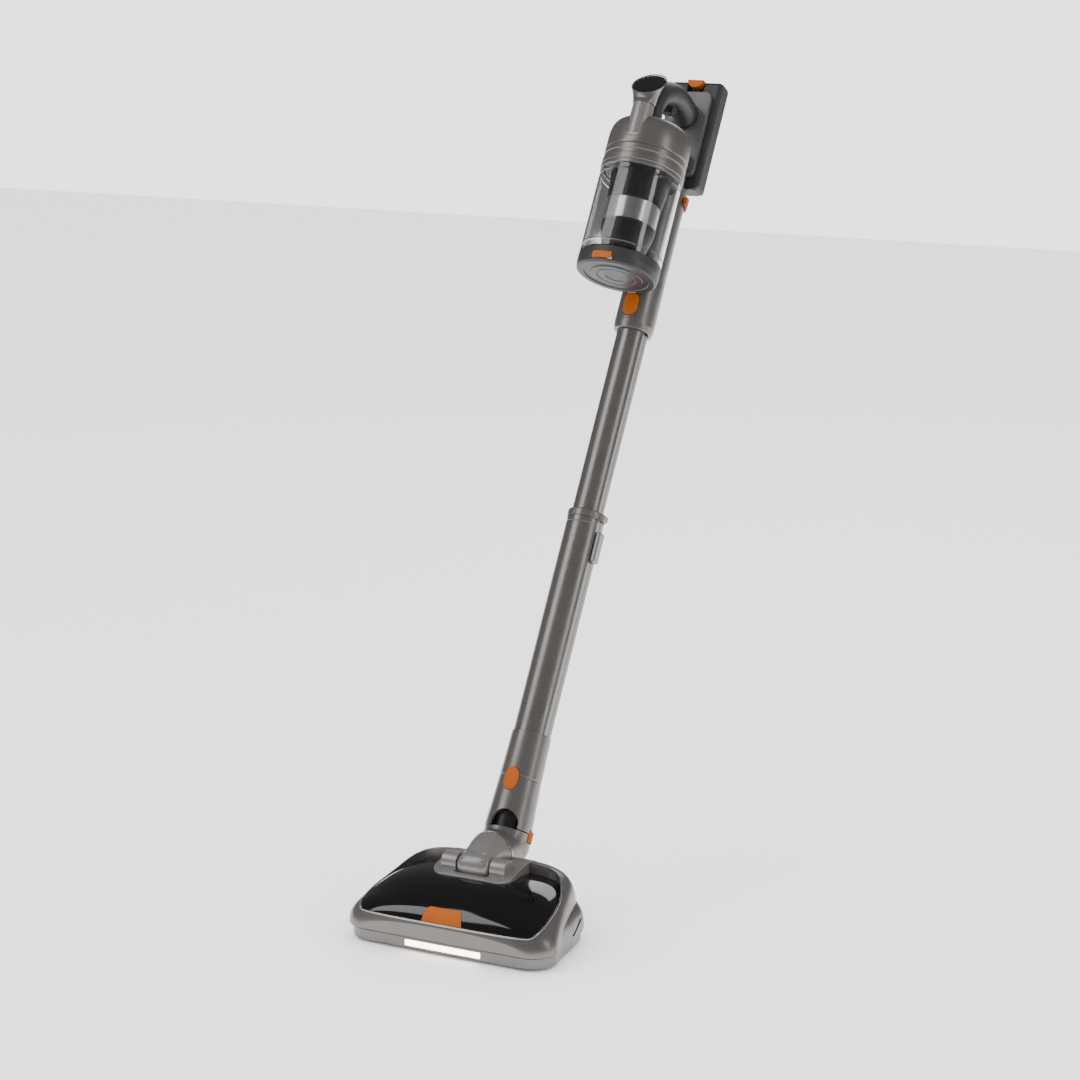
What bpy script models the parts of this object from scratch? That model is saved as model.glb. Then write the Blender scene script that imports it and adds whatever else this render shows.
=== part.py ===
"""Cordless stick vacuum, in metres: +X to its right, -Y to its front, +Z up.

The origin is the middle of the felt strip under the head. The wand leans back
from the neck, and everything on it is placed along its axis: s runs up the
axis and n stands out in front of it.
"""

import math

import bmesh
import bpy
import numpy as np
from mathutils import Matrix, Vector

GAP = 0.0003                 # clearance between pieces that touch
LEAN = math.radians(30.6)    # how far the wand leans back
WAND_FOOT = (0.0, 0.1122, 0.1442)   # where s is 0 on the wand's axis

# wand
UPPER_TUBE_R = 0.0175
LOWER_TUBE_R = 0.0205
TUBE_WALL = 0.0028
UPPER_TUBE_S = (0.2550, 0.5600)
LOWER_TUBE_S = (0.0150, 0.2977)
COLLAR_TOP_S = 0.3060
CASING_S = (-0.0560, 0.0507)
CASING_BORE = 0.0193
FLAT_SHARE = 0.927           # the side flat of a tube lies at this share of its radius

# hand-held unit
DUCT_R = 0.0222
DUCT_S = (0.5210, 0.7005)
CUP_N = 0.0710               # the dust cup's axis stands this far in front of the wand's
CUP_R = 0.0460
LID_S = (0.5580, 0.5770)
CUP_S = (0.5774, 0.6767)
HINGE_Y, HINGE_S = 0.0448, 0.5616     # the lid pin, from the cup's axis and along the wand
COLLAR_S = (0.6772, 0.7007)
HOUSING_FOOT_S = 0.7013
HOUSING_TOP_S = 0.7415

# battery and its dock
BATTERY = (0.0640, 0.0240, 0.1340)   # across, thick, tall
BATTERY_N = -0.0040                  # its front face
BATTERY_FOOT_S = 0.7030
DOCK_HALF = 0.0250
DOCK_FRONT_N = 0.0030

# display on its stalk
DISPLAY_CENTRE = (0.1070, 0.7770)    # n, s
DISPLAY_TILT = math.radians(57)
DISPLAY_R = 0.0205
STALK_TOP = (0.1070, 0.7500)
STALK_FOOT_S = 0.7085
STALK_R = 0.0120

# neck
SWIVEL = (0.0, 0.0470, 0.0800)
SWIVEL_R = 0.0250
PIVOT = (0.0, 0.0165, 0.0765)
YOKE_HALF = 0.0190
NOSE_R = 0.0152
BARREL_R = 0.0112
PIN_R = 0.0040
NECK_R = 0.0250
AIRWAY_R = 0.0146
ELBOW_CENTRE = (0.0, 0.0790, 0.0825)
ELBOW_R = 0.0260

# head
HEAD_FRONT = -0.0620
HEAD_REAR = 0.0730
HEAD_HALF = 0.1225
FRONT_CORNER = 0.0280
REAR_CORNER = 0.0260
TAPER = 0.27                 # how much each side comes in per unit towards the rear
BASE_INSET = 0.0030          # the base stands this far inside the head's outline
SOLE_Z = 0.0032
SEAM_Z = (0.0140, 0.0160)
SHELL = 0.0026
CRADLE_HALF = 0.0470
CRADLE_FRONT = -0.0046
NOTCH_HALF = 0.0285
LENS_SIZE = (0.0445, 0.0052, 0.0112)  # half its length, its foot and its top
BRUSH_AXIS = (-0.0290, 0.0240)       # y, z
BRUSH_HALF = 0.1000
BRUSH_END = -0.0990           # its driven end
BELT_X = -0.0940
BRUSH_MOTOR = (0.0260, 0.0340)       # y, z
BRISTLE_R = 0.0228
WHEEL_R = 0.0150
WHEEL_PLACE = (0.0930, 0.0560)       # x, y
ROLLER_R = 0.0065
ROLLER_PLACE = (0.0600, 0.0130)      # x, y

for old in list(bpy.data.objects):
    bpy.data.objects.remove(old, do_unlink=True)

PARTS = bpy.data.collections.new("cordless_stick_vacuum")
CUTTERS = bpy.data.collections.new("cutters")
for group in (PARTS, CUTTERS):
    bpy.context.scene.collection.children.link(group)
CUTTERS.hide_render = True


# ---------------------------------------------------------------- finishes

def finish(name, colour, roughness, metallic=0.0, alpha=1.0):
    """A plain Principled material."""
    made = bpy.data.materials.new(name)
    made.use_nodes = True
    made.diffuse_color = (*colour, alpha)
    shader = made.node_tree.nodes["Principled BSDF"]
    shader.inputs["Base Color"].default_value = (*colour, 1.0)
    shader.inputs["Roughness"].default_value = roughness
    shader.inputs["Metallic"].default_value = metallic
    shader.inputs["Alpha"].default_value = alpha
    return made


GREY = finish("warm_grey_paint", (0.16, 0.15, 0.14), 0.36, 0.75)
LIGHT_GREY = finish("light_grey_plastic", (0.36, 0.35, 0.34), 0.42, 0.3)
DARK = finish("dark_grey_plastic", (0.075, 0.072, 0.072), 0.45)
BLACK = finish("black_plastic", (0.012, 0.012, 0.011), 0.4)
ORANGE = finish("orange_plastic", (0.66, 0.17, 0.012), 0.38)
CLEAR = finish("clear_plastic", (0.85, 0.85, 0.84), 0.05, 0.0, 0.25)
SMOKED = finish("smoked_window", (0.01, 0.01, 0.01), 0.06)
STEEL = finish("steel", (0.62, 0.61, 0.6), 0.25, 1.0)
FOAM = finish("filter_foam", (0.3, 0.3, 0.31), 0.95)
BOARD = finish("circuit_board", (0.02, 0.12, 0.05), 0.6)
RUBBER = finish("black_rubber", (0.02, 0.02, 0.02), 0.8)
NYLON = finish("bristle_nylon", (0.05, 0.05, 0.055), 0.7)
LENS = finish("lamp_lens", (0.95, 0.93, 0.86), 0.2)


# ---------------------------------------------------------------- helpers

def frame(name, place, turn_x=0.0, parent=None):
    """An empty that a group of pieces is placed in."""
    empty = bpy.data.objects.new(name, None)
    PARTS.objects.link(empty)
    empty.parent = parent
    empty.location = place
    empty.rotation_euler = (turn_x, 0.0, 0.0)
    return empty


def enter(mesh, name, paint, parent=None, place=(0, 0, 0), turn=(0, 0, 0)):
    """Makes the mesh an object. A piece without paint is a cutter."""
    piece = bpy.data.objects.new(name, mesh)
    (PARTS if paint else CUTTERS).objects.link(piece)
    piece.parent = parent
    piece.location = place
    piece.rotation_euler = turn
    if paint:
        mesh.materials.append(paint)
        mesh.shade_smooth()
        mesh.set_sharp_from_angle(angle=math.radians(32))
    else:
        piece.hide_render = True
        piece.display_type = "WIRE"
    return piece


def mesh_of(bm, name):
    bmesh.ops.recalc_face_normals(bm, faces=bm.faces)
    mesh = bpy.data.meshes.new(name)
    bm.to_mesh(mesh)
    bm.free()
    return mesh


def block(name, low, high, paint=None, parent=None, bevel=0.0, steps=2):
    """A box between two corners, with its edges rounded."""
    low, high = Vector(low), Vector(high)
    bm = bmesh.new()
    bmesh.ops.create_cube(bm, size=1.0)
    bmesh.ops.scale(bm, vec=high - low, verts=bm.verts)
    if bevel:
        bmesh.ops.bevel(bm, geom=bm.edges[:], offset=bevel, segments=steps, profile=0.5,
                        affect="EDGES", clamp_overlap=True)
    return enter(mesh_of(bm, name), name, paint, parent, (low + high) / 2)


def rod(name, radius, low, high, axis, paint=None, parent=None, sides=28, top_radius=None):
    """A cylinder or a cone from low to high along the axis, a letter, through those two points."""
    low, high = Vector(low), Vector(high)
    turn = {"x": Matrix.Rotation(math.pi / 2, 4, "Y"), "y": Matrix.Rotation(-math.pi / 2, 4, "X"),
            "z": Matrix.Identity(4)}[axis]
    bm = bmesh.new()
    bmesh.ops.create_cone(bm, cap_ends=True, segments=sides, radius1=radius,
                          radius2=radius if top_radius is None else top_radius,
                          depth=(high - low).length)
    bmesh.ops.transform(bm, matrix=turn, verts=bm.verts)
    return enter(mesh_of(bm, name), name, paint, parent, (low + high) / 2)


def ball(name, radius, centre, paint=None, parent=None):
    bm = bmesh.new()
    bmesh.ops.create_uvsphere(bm, u_segments=22, v_segments=11, radius=radius)
    return enter(mesh_of(bm, name), name, paint, parent, centre)


def turned(name, profile, paint=None, parent=None, place=(0, 0, 0), turn=(0, 0, 0), ring=False,
           steps=26):
    """A profile of (radius, height) points, from the top down its outer side, turned about Z.

    A ring's profile closes on itself, and another one starts and ends on the axis.
    """
    mesh = bpy.data.meshes.new(name)
    points = [(radius, 0.0, height) for radius, height in profile]
    edges = [(i, i + 1) for i in range(len(points) - 1)]
    if ring:
        edges.append((len(points) - 1, 0))
    mesh.from_pydata(points, edges, [])
    piece = enter(mesh, name, paint, parent, place, turn)
    screw = piece.modifiers.new("turn", "SCREW")
    screw.axis = "Z"
    screw.angle = 2 * math.pi
    screw.steps = steps
    screw.render_steps = steps
    screw.use_merge_vertices = True
    screw.merge_threshold = 0.00001
    screw.use_smooth_shade = True
    return piece


def plate(name, outline, thickness, paint=None, parent=None, place=(0, 0, 0), turn=(0, 0, 0)):
    """A flat outline given its thickness, half to each side of its plane."""
    curve = bpy.data.curves.new(name, "CURVE")
    curve.dimensions = "2D"
    curve.fill_mode = "BOTH"
    curve.extrude = thickness / 2
    spline = curve.splines.new("POLY")
    spline.points.add(len(outline) - 1)
    for point, (x, y) in zip(spline.points, outline):
        point.co = (x, y, 0.0, 1.0)
    spline.use_cyclic_u = True
    return solid_from_curve(curve, name, paint, parent, place, turn)


def solid_from_curve(curve, name, paint, parent=None, place=(0, 0, 0), turn=(0, 0, 0)):
    """The curve as a welded mesh, so that it can be cut."""
    guide = bpy.data.objects.new(name + "_curve", curve)
    CUTTERS.objects.link(guide)
    graph = bpy.context.evaluated_depsgraph_get()
    mesh = bpy.data.meshes.new_from_object(guide.evaluated_get(graph))
    bpy.data.objects.remove(guide, do_unlink=True)
    mesh.materials.clear()
    bm = bmesh.new()
    bm.from_mesh(mesh)
    bmesh.ops.remove_doubles(bm, verts=bm.verts, dist=0.000001)
    bpy.data.meshes.remove(mesh)
    return enter(mesh_of(bm, name), name, paint, parent, place, turn)


def loft(name, rings, paint=None, parent=None, place=(0, 0, 0), turn=(0, 0, 0)):
    """A skin over unlike sections that have the same number of points, closed at both ends."""
    bm = bmesh.new()
    rows = [[bm.verts.new(point) for point in ring] for ring in rings]
    count = len(rows[0])
    for near, far in zip(rows, rows[1:]):
        for i in range(count):
            j = (i + 1) % count
            bm.faces.new((near[i], near[j], far[j], far[i]))
    bm.faces.new(rows[0][::-1])
    bm.faces.new(rows[-1])
    return enter(mesh_of(bm, name), name, paint, parent, place, turn)


def combine(piece, operation, others):
    for other in others:
        step = piece.modifiers.new(other.name, "BOOLEAN")
        step.operation = operation
        step.solver = "EXACT"
        step.object = other
    return piece


def cut(piece, *others):
    return combine(piece, "DIFFERENCE", others)


def join(piece, *others):
    return combine(piece, "UNION", others)


def keep(piece, *others):
    return combine(piece, "INTERSECT", others)


def round_over(piece, width, steps=2, angle=math.radians(40)):
    bevel = piece.modifiers.new("round", "BEVEL")
    bevel.width = width
    bevel.segments = steps
    bevel.limit_method = "ANGLE"
    bevel.angle_limit = angle
    return piece


def arc(centre, radius, start, end, count):
    """Points of an arc, its angles in degrees."""
    angles = np.radians(np.linspace(start, end, count))
    return [(centre[0] + radius * math.cos(a), centre[1] + radius * math.sin(a)) for a in angles]


def rounded_rectangle(width, height, radius, count=6):
    across, up = width / 2 - radius, height / 2 - radius
    corners = ((across, up, 0), (-across, up, 90), (-across, -up, 180), (across, -up, 270))
    points = []
    for x, y, start in corners:
        points += arc((x, y), radius, start, start + 90, count)
    return points


def oval(width, height, power=2.5, count=24):
    """A superellipse, between an ellipse and a rounded rectangle."""
    points = []
    for i in range(count):
        a = 2 * math.pi * i / count
        x, y = math.cos(a), math.sin(a)
        points.append((width / 2 * math.copysign(abs(x) ** (2 / power), x),
                       height / 2 * math.copysign(abs(y) ** (2 / power), y)))
    return points


# ---------------------------------------------------------------- frames

WAND = frame("wand_axis", WAND_FOOT, -LEAN)
CUP_AXIS = frame("cup_axis", (0, -CUP_N, 0), parent=WAND)
FACING_FRONT = (math.pi / 2, 0, 0)    # lays a plate's outline on a face that looks along n


def on_wand(x, n, s):
    return (x, -n, s)


# ---------------------------------------------------------------- wand

def tube(name, radius, span, paint):
    low, high = span
    inner = radius - TUBE_WALL
    flat = radius * FLAT_SHARE
    piece = turned(name, [(radius, high), (radius, low), (inner, low), (inner, high)], paint, WAND,
                   ring=True, steps=26)
    side = block(name + "_flat", (flat, -radius, low - 0.01), (flat + 0.01, radius, high + 0.01),
                 None, WAND)
    return cut(piece, side)


def make_wand():
    tube("upper_tube", UPPER_TUBE_R, UPPER_TUBE_S, GREY)
    tube("lower_tube", LOWER_TUBE_R, LOWER_TUBE_S, GREY)
    outer, inner = LOWER_TUBE_R + 0.0008, UPPER_TUBE_R + 0.0004
    foot = LOWER_TUBE_S[1] + GAP
    collar = turned("telescope_collar",
                    [(outer - 0.0008, COLLAR_TOP_S), (outer, COLLAR_TOP_S - 0.0012), (outer, foot),
                     (inner, foot), (inner, COLLAR_TOP_S)], LIGHT_GREY, WAND, ring=True, steps=26)
    boss = block("collar_boss", (0.0190, -0.0060, foot), (0.0240, 0.0060, COLLAR_TOP_S - 0.001),
                 None, WAND, 0.001)
    bore = rod("collar_bore", inner, (0, 0, 0.29), (0, 0, 0.32), "z", None, WAND, 32)
    cut(join(collar, boss), bore)

    flat = LOWER_TUBE_R * FLAT_SHARE
    round_over(block("telescope_slider", (flat + GAP, -0.0062, 0.2500),
                     (flat + 0.0060, 0.0062, 0.2850), LIGHT_GREY, WAND), 0.0018)

    low, high = CASING_S
    casing = turned("lower_casing",
                    [(0.0217, high), (0.0225, 0.0200), (0.0230, 0.0010), (0.0226, 0.0),
                     (0.0231, -0.0010), (0.0244, -0.0300), (0.0256, -0.0500), (0.0258, low),
                     (0.0226, low), (CASING_BORE, -0.0420), (CASING_BORE, 0.0140),
                     (LOWER_TUBE_R + GAP, 0.0140), (LOWER_TUBE_R + GAP, high)], GREY, WAND,
                    ring=True, steps=26)
    arch = plate("casing_arch", arc((0.0045, -0.0520), 0.0145, 0, 180, 12)
                 + [(-0.0100, -0.0700), (0.0190, -0.0700)], 0.0300, None, WAND,
                 on_wand(0, 0.0280, 0), FACING_FRONT)
    pocket = plate("casing_pocket", oval(0.0168, 0.0258), 0.0200, None, WAND,
                   on_wand(0.0005, 0.0290, -0.0040), FACING_FRONT)
    cut(casing, arch, pocket, heel_room("casing_heel_room"))
    crowned_button("casing_button", (0.0160, 0.0250), (0.0203, 0.0243), -0.0040, 0.0005)


def crowned_button(name, size, span_n, s, x=0.0):
    """An oval button in front of the wand's axis, with a face that follows a cylinder round it."""
    inner, outer = span_n
    button = plate(name, oval(*size), outer - inner + 0.004, ORANGE, WAND,
                   on_wand(x, (outer + inner + 0.004) / 2, s), FACING_FRONT)
    crown = rod(name + "_crown", outer, (0, 0, s - 0.03), (0, 0, s + 0.03), "z", None, WAND, 40)
    return keep(button, crown)


# ---------------------------------------------------------------- hand-held unit

def housing_shape(name, spread=0.0):
    """The outer form of collar and housing, grown by spread, to cut what stands against it."""
    radius = CUP_R + 0.0008 + spread
    top = HOUSING_TOP_S + spread
    return turned(name, [(0, top), (0.0300 + spread, top - 0.0005), (0.0370 + spread, top - 0.0030),
                         (0.0425 + spread, top - 0.0075), (0.0455 + spread, top - 0.0140),
                         (radius, top - 0.0240), (radius, 0.6760), (0, 0.6760)], None, CUP_AXIS)


def make_duct():
    low, high = DUCT_S
    bore = UPPER_TUBE_R + 0.0004
    duct = turned("intake_duct",
                  [(0, high), (0.0205, high), (DUCT_R, high - 0.0020), (DUCT_R, 0.5850),
                   (0.0226, 0.5750), (0.0228, 0.5280), (0.0214, low), (bore, low),
                   (bore, 0.5625), (0.0165, 0.5625), (0.0165, high - 0.0030), (0, high - 0.0030)],
                  GREY, WAND, steps=26)
    pocket = plate("socket_pocket", oval(0.0188, 0.0278), 0.0200, None, WAND,
                   on_wand(0, 0.0290, 0.5480), FACING_FRONT)
    port = block("duct_port", on_wand(-0.0090, 0.0400, 0.6800), on_wand(0.0090, 0.0100, 0.6940),
                 None, WAND)
    cut(duct, pocket, port)
    crowned_button("wand_release", (0.0180, 0.0270), (0.0206, 0.0236), 0.5480)

    outline = ([(0.0235, -0.0034), (0.0270, -0.0028), (0.0270, 0.0034)]
               + arc((0, 0.0004), 0.0252, 10, 170, 16)
               + [(-0.0270, 0.0034), (-0.0270, -0.0028), (-0.0235, -0.0034)]
               + arc((0, 0), 0.0230, 188, -8, 18)[1:-1])
    # the outline lies across the wand, its second number running back from the axis
    round_over(plate("bin_release", outline, 0.0090, ORANGE, WAND, (0, 0, 0.6842)), 0.0010, 1)


def make_collar_and_housing():
    low, high = COLLAR_S
    outer = CUP_R + 0.0008
    collar = turned("housing_collar",
                    [(0.0464, high), (0.0464, 0.6945), (0.0458, 0.6940), (0.0458, 0.6895),
                     (outer, 0.6890), (outer, low), (0.0435, low), (0.0435, high)], GREY, CUP_AXIS,
                    ring=True)
    slot = block("collar_slot", (-0.0095, 0.0300, 0.6800), (0.0095, 0.0600, 0.6940), None, CUP_AXIS)
    cut(collar, slot)

    top = HOUSING_TOP_S
    housing = turned("motor_housing",
                     [(0, top), (0.0300, top - 0.0005), (0.0370, top - 0.0030), (0.0425, top - 0.0075),
                      (0.0455, top - 0.0140), (0.0465, top - 0.0240), (0.0465, HOUSING_FOOT_S),
                      (0.0440, HOUSING_FOOT_S), (0.0440, top - 0.0240), (0.0430, top - 0.0150),
                      (0.0400, top - 0.0090), (0.0350, top - 0.0053), (0.0290, top - 0.0030),
                      (0, top - 0.0025)], GREY, CUP_AXIS)
    for i in range(5):
        slot = block(f"exhaust_slot_{i}", (-0.0600, -0.0160 + 0.0080 * i, 0.7050),
                     (-0.0300, -0.0130 + 0.0080 * i, 0.7160), None, CUP_AXIS)
        cut(housing, slot)
    cut(housing, stalk_form("stalk_room", GAP))


def make_motor():
    turned("motor_can", [(0.0120, 0.7260), (0.0230, 0.7240), (0.0230, 0.7015), (0.0022, 0.7015),
                        (0.0022, 0.7260)], STEEL, CUP_AXIS, ring=True)
    impeller = turned("impeller", [(0, 0.7280), (0.0016, 0.7280), (0.0016, 0.7000), (0.0120, 0.6995),
                                   (0.0220, 0.6965), (0.0220, 0.6950), (0.0060, 0.6925), (0, 0.6925)],
                      STEEL, CUP_AXIS, steps=24)
    for i in range(8):
        vane = block(f"vane_{i}", (0.0030, -0.0006, 0.6950), (0.0210, 0.0006, 0.7005), None, CUP_AXIS)
        vane.rotation_euler = (0, 0, math.pi * i / 4)
        vane.location = Matrix.Rotation(math.pi * i / 4, 4, "Z") @ vane.location
        join(impeller, vane)
    turned("pre_filter", [(0.0400, 0.6895), (0.0400, 0.6815), (0.0150, 0.6815), (0.0150, 0.6895)], FOAM,
           CUP_AXIS, ring=True, steps=26)
    turned("hepa_filter", [(0.0415, 0.7170), (0.0415, 0.7035), (0.0320, 0.7035), (0.0320, 0.7170)],
           FOAM, CUP_AXIS, ring=True)
    plate("control_board", oval(0.0460, 0.0460, 2.0, 20), 0.0016, BOARD, CUP_AXIS, (0, 0, 0.7310))


def make_cyclone():
    turned("cyclone_body", [(0.0425, 0.6805), (0.0425, 0.6776), (0.0340, 0.6760), (0.0310, 0.6440),
                            (0.0270, 0.6440), (0.0290, 0.6805)], DARK, CUP_AXIS, ring=True)
    turned("mesh_screen", [(0.0300, 0.6436), (0.0300, 0.6185), (0.0286, 0.6185), (0.0286, 0.6436)],
           STEEL, CUP_AXIS, ring=True)
    turned("cyclone_skirt", [(0.0305, 0.6181), (0.0305, 0.6120), (0.0245, 0.5880), (0.0220, 0.5880),
                             (0.0275, 0.6181)], DARK, CUP_AXIS, ring=True)


def make_cup():
    low, high = CUP_S
    inner = CUP_R - 0.0020
    cup = turned("dust_cup", [(CUP_R, high), (CUP_R, low), (inner, low), (inner, high)], CLEAR, CUP_AXIS,
                 ring=True, steps=32)
    arm = block("hinge_arm", (-0.0060, 0.0425, 0.5592), (0.0060, 0.0468, low + 0.0060), None,
                CUP_AXIS)
    pin_hole = rod("pin_hole", 0.0015, (-0.02, HINGE_Y, HINGE_S), (0.02, HINGE_Y, HINGE_S), "x", None,
                   CUP_AXIS, 20)
    cut(join(cup, arm), pin_hole)
    rod("lid_pin", 0.0012, (-0.0110, HINGE_Y, HINGE_S), (0.0110, HINGE_Y, HINGE_S), "x", STEEL, CUP_AXIS, 16)

    low, high = LID_S
    lid = turned("cup_lid", [(0, 0.5610), (0.0425, 0.5610), (0.0425, high), (CUP_R, high), (0.0464, 0.5680),
                             (0.0455, 0.5600), (0.0430, low), (0.0370, low), (0.0362, 0.5588),
                             (0.0300, 0.5588), (0.0292, low), (0, low)], DARK, CUP_AXIS, steps=32)
    notch = block("arm_notch", (-0.0064, 0.0395, 0.5500), (0.0064, 0.0600, 0.5900), None, CUP_AXIS)
    lug_left = block("lid_lug_left", (-0.0105, 0.0400, 0.5594), (-0.0066, 0.0466, 0.5650), None, CUP_AXIS)
    lug_right = block("lid_lug_right", (0.0066, 0.0400, 0.5594), (0.0105, 0.0466, 0.5650), None, CUP_AXIS)
    slot = block("latch_slot", (-0.0120, -0.0600, 0.5613), (0.0120, -0.0300, 0.5697), None, CUP_AXIS)
    cut(join(lid, lug_left, lug_right), notch, slot, pin_hole)
    turned("lid_seal", [(0.0422, high), (0.0422, high - 0.0026), (0.0398, high - 0.0026), (0.0398, high)],
           RUBBER, CUP_AXIS, ring=True)
    latch = block("lid_latch", (-0.0115, -0.0520, 0.5617), (0.0115, -0.0430, 0.5693), ORANGE,
                  CUP_AXIS, 0.0012)
    keep(latch, rod("latch_crown", 0.0469, (0, 0, 0.56), (0, 0, 0.59), "z", None, CUP_AXIS, 96))


def make_handle():
    path = [(0.0790, 0.7300), (0.0825, 0.7450), (0.0825, 0.7600), (0.0765, 0.7760), (0.0620, 0.7865),
            (0.0460, 0.7915), (0.0300, 0.7920), (0.0160, 0.7905), (0.0036, 0.7880)]
    path = np.array(path)
    along = np.gradient(path, axis=0)
    along /= np.linalg.norm(along, axis=1)[:, None]
    out = np.stack([-along[:, 1], along[:, 0]], 1)
    widths = (0.0240, 0.0230, 0.0230, 0.0260, 0.0290, 0.0300, 0.0300, 0.0300, 0.0300)
    depths = (0.0220, 0.0200, 0.0200, 0.0240, 0.0280, 0.0290, 0.0290, 0.0300, 0.0330)
    rings = []
    for centre, side, width, depth in zip(path, out, widths, depths):
        rings.append([on_wand(x, *(centre + side * y)) for x, y in oval(width, depth, 2.4, 18)])
    last = path[-1]
    rings[-1] = [on_wand(x, last[0], last[1] + y) for x, y in oval(widths[-1], depths[-1], 2.4, 18)]
    grip = loft("handle_grip", rings, DARK, WAND)
    pocket = block("trigger_pocket", on_wand(-0.0075, 0.0540, 0.7600), on_wand(0.0075, 0.0352, 0.7905),
                   None, WAND)
    cut(grip, housing_shape("grip_seat", GAP), pocket)

    pivot = frame("trigger_pivot", on_wand(0, 0.0500, 0.7860), parent=WAND)
    # the trigger hangs below the grip and swings up into it
    outline = [(-0.0030, 0.0030), (-0.0030, -0.0110), (-0.0010, -0.0150), (0.0040, -0.0170),
               (0.0085, -0.0165), (0.0115, -0.0140), (0.0118, -0.0040), (0.0030, 0.0030)]
    trigger = plate("trigger", outline, 0.0140, DARK, pivot, (0, 0, 0),
                    (math.pi / 2, 0, math.pi / 2))
    round_over(trigger, 0.0008, 1)


def make_dock_and_battery():
    dock = plate("battery_dock", rounded_rectangle(2 * DOCK_HALF, 0.1040, 0.0080), DOCK_FRONT_N + 0.0036,
                 LIGHT_GREY, WAND, on_wand(0, (DOCK_FRONT_N - 0.0036) / 2, 0.7680), FACING_FRONT)
    bridge = block("dock_bridge", on_wand(-0.0170, 0.0300, 0.7034), on_wand(0.0170, -0.0030, 0.7420),
                   None, WAND, 0.0020)
    rail = block("dock_rail", on_wand(-0.0100, 0.0, 0.7300), on_wand(0.0100, -0.0060, 0.8120),
                 None, WAND)
    cut(join(dock, bridge, rail), housing_shape("dock_seat", GAP))

    width, thick, tall = BATTERY
    front, back = BATTERY_N, BATTERY_N - thick
    foot, top = BATTERY_FOOT_S, BATTERY_FOOT_S + tall
    case = block("battery_case", on_wand(-width / 2, front, foot), on_wand(width / 2, back, top), DARK,
                 WAND, 0.0045, 2)
    hollow = block("battery_hollow", on_wand(-0.0285, front - 0.0036, foot - 0.01),
                   on_wand(0.0285, back + 0.0012, top - 0.0140), None, WAND)
    groove = block("battery_groove", on_wand(-0.0104, front + 0.01, foot - 0.01),
                   on_wand(0.0104, front - 0.0024, 0.8124), None, WAND)
    pocket = block("latch_pocket", on_wand(-0.0105, front + 0.01, 0.8215),
                   on_wand(0.0105, front - 0.0085, top + 0.01), None, WAND)
    cut(case, hollow, groove, pocket)

    outline = [(x, 0.9 * y) for x, y in arc((0, 0), 0.0100, 180, 360, 14)]
    latch = plate("battery_latch", outline, 0.0096, ORANGE, WAND, on_wand(0, front, top - 0.0008),
                  FACING_FRONT)
    round_over(latch, 0.0006, 1)

    radius, length = 0.0091, 0.0500
    middle_n = front - 0.0036 - 0.0096
    pack = None
    for row in range(2):
        for column in range(3):
            x = (column - 1) * 0.0184
            low = foot + 0.0060 + row * (length + 0.0004)
            name = "cell_pack" if pack is None else f"cell_{row}_{column}"
            cell = rod(name, radius, on_wand(x, middle_n, low), on_wand(x, middle_n, low + length), "z",
                       None if pack else STEEL, WAND, 14)
            pack = join(pack, cell) if pack else cell
    for i, s in enumerate((foot + 0.0100, foot + 0.0564, foot + 0.1020)):
        strip = block(f"cell_strip_{i}", on_wand(-0.0230, middle_n + 0.0040, s - 0.0030),
                      on_wand(0.0230, middle_n - 0.0040, s + 0.0030), None, WAND)
        join(pack, strip)


def make_display():
    stalk = stalk_form("display_stalk", 0.0, LIGHT_GREY)
    cut(stalk, rod("stalk_hollow", 0.0430, (0, 0, 0.69), (0, 0, 0.7185), "z", None, CUP_AXIS))

    face = frame("display_axis", on_wand(0, *DISPLAY_CENTRE), DISPLAY_TILT, WAND)
    bpy.context.view_layer.update()
    to_face = face.matrix_world.inverted()
    to_stalk = WAND.matrix_world @ Matrix.Translation(on_wand(0, *STALK_TOP))
    rings = []
    for share in (0.0, 0.25, 0.6, 1.0):
        ring = []
        for x, y in oval(2.0, 2.0, 2.0, 28):
            low = to_face @ to_stalk @ Vector((x * (STALK_R + 0.0006), y * (STALK_R + 0.0006), GAP))
            high = Vector((x * DISPLAY_R, y * DISPLAY_R, 0.0))
            ring.append(low.lerp(high, share) + (high - low).normalized().cross(Vector((-y, x, 0)))
                        * 0.0018 * math.sin(math.pi * share))
        rings.append(ring)
    bezel = loft("display_bezel", rings, GREY, face)
    recess = rod("glass_recess", DISPLAY_R - 0.0014, (0, 0, -0.0024), (0, 0, 0.01), "z", None, face, 28)
    cut(bezel, recess)
    turned("display_glass", [(0, 0.0002), (0.0165, 0.0), (DISPLAY_R - 0.0017, -0.0006),
                             (DISPLAY_R - 0.0017, -0.0020), (0, -0.0020)], SMOKED, face, steps=28)


def stalk_form(name, spread, paint=None):
    """The column under the display, or the room for it in the housing."""
    n, top = STALK_TOP
    radius = STALK_R + spread
    return turned(name, [(0, top), (radius, top), (radius + 0.0006, STALK_FOOT_S + 0.0030),
                         (radius - 0.0022, STALK_FOOT_S - spread), (0, STALK_FOOT_S - spread)], paint,
                  WAND, on_wand(0, n, 0))


# ---------------------------------------------------------------- neck

def heel_room(name):
    """Room for the heel release, in the elbow and in the end of the casing."""
    return block(name, on_wand(0.0188, 0.0, -0.0664), on_wand(0.0320, -0.0120, -0.0516), None, WAND)


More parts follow.
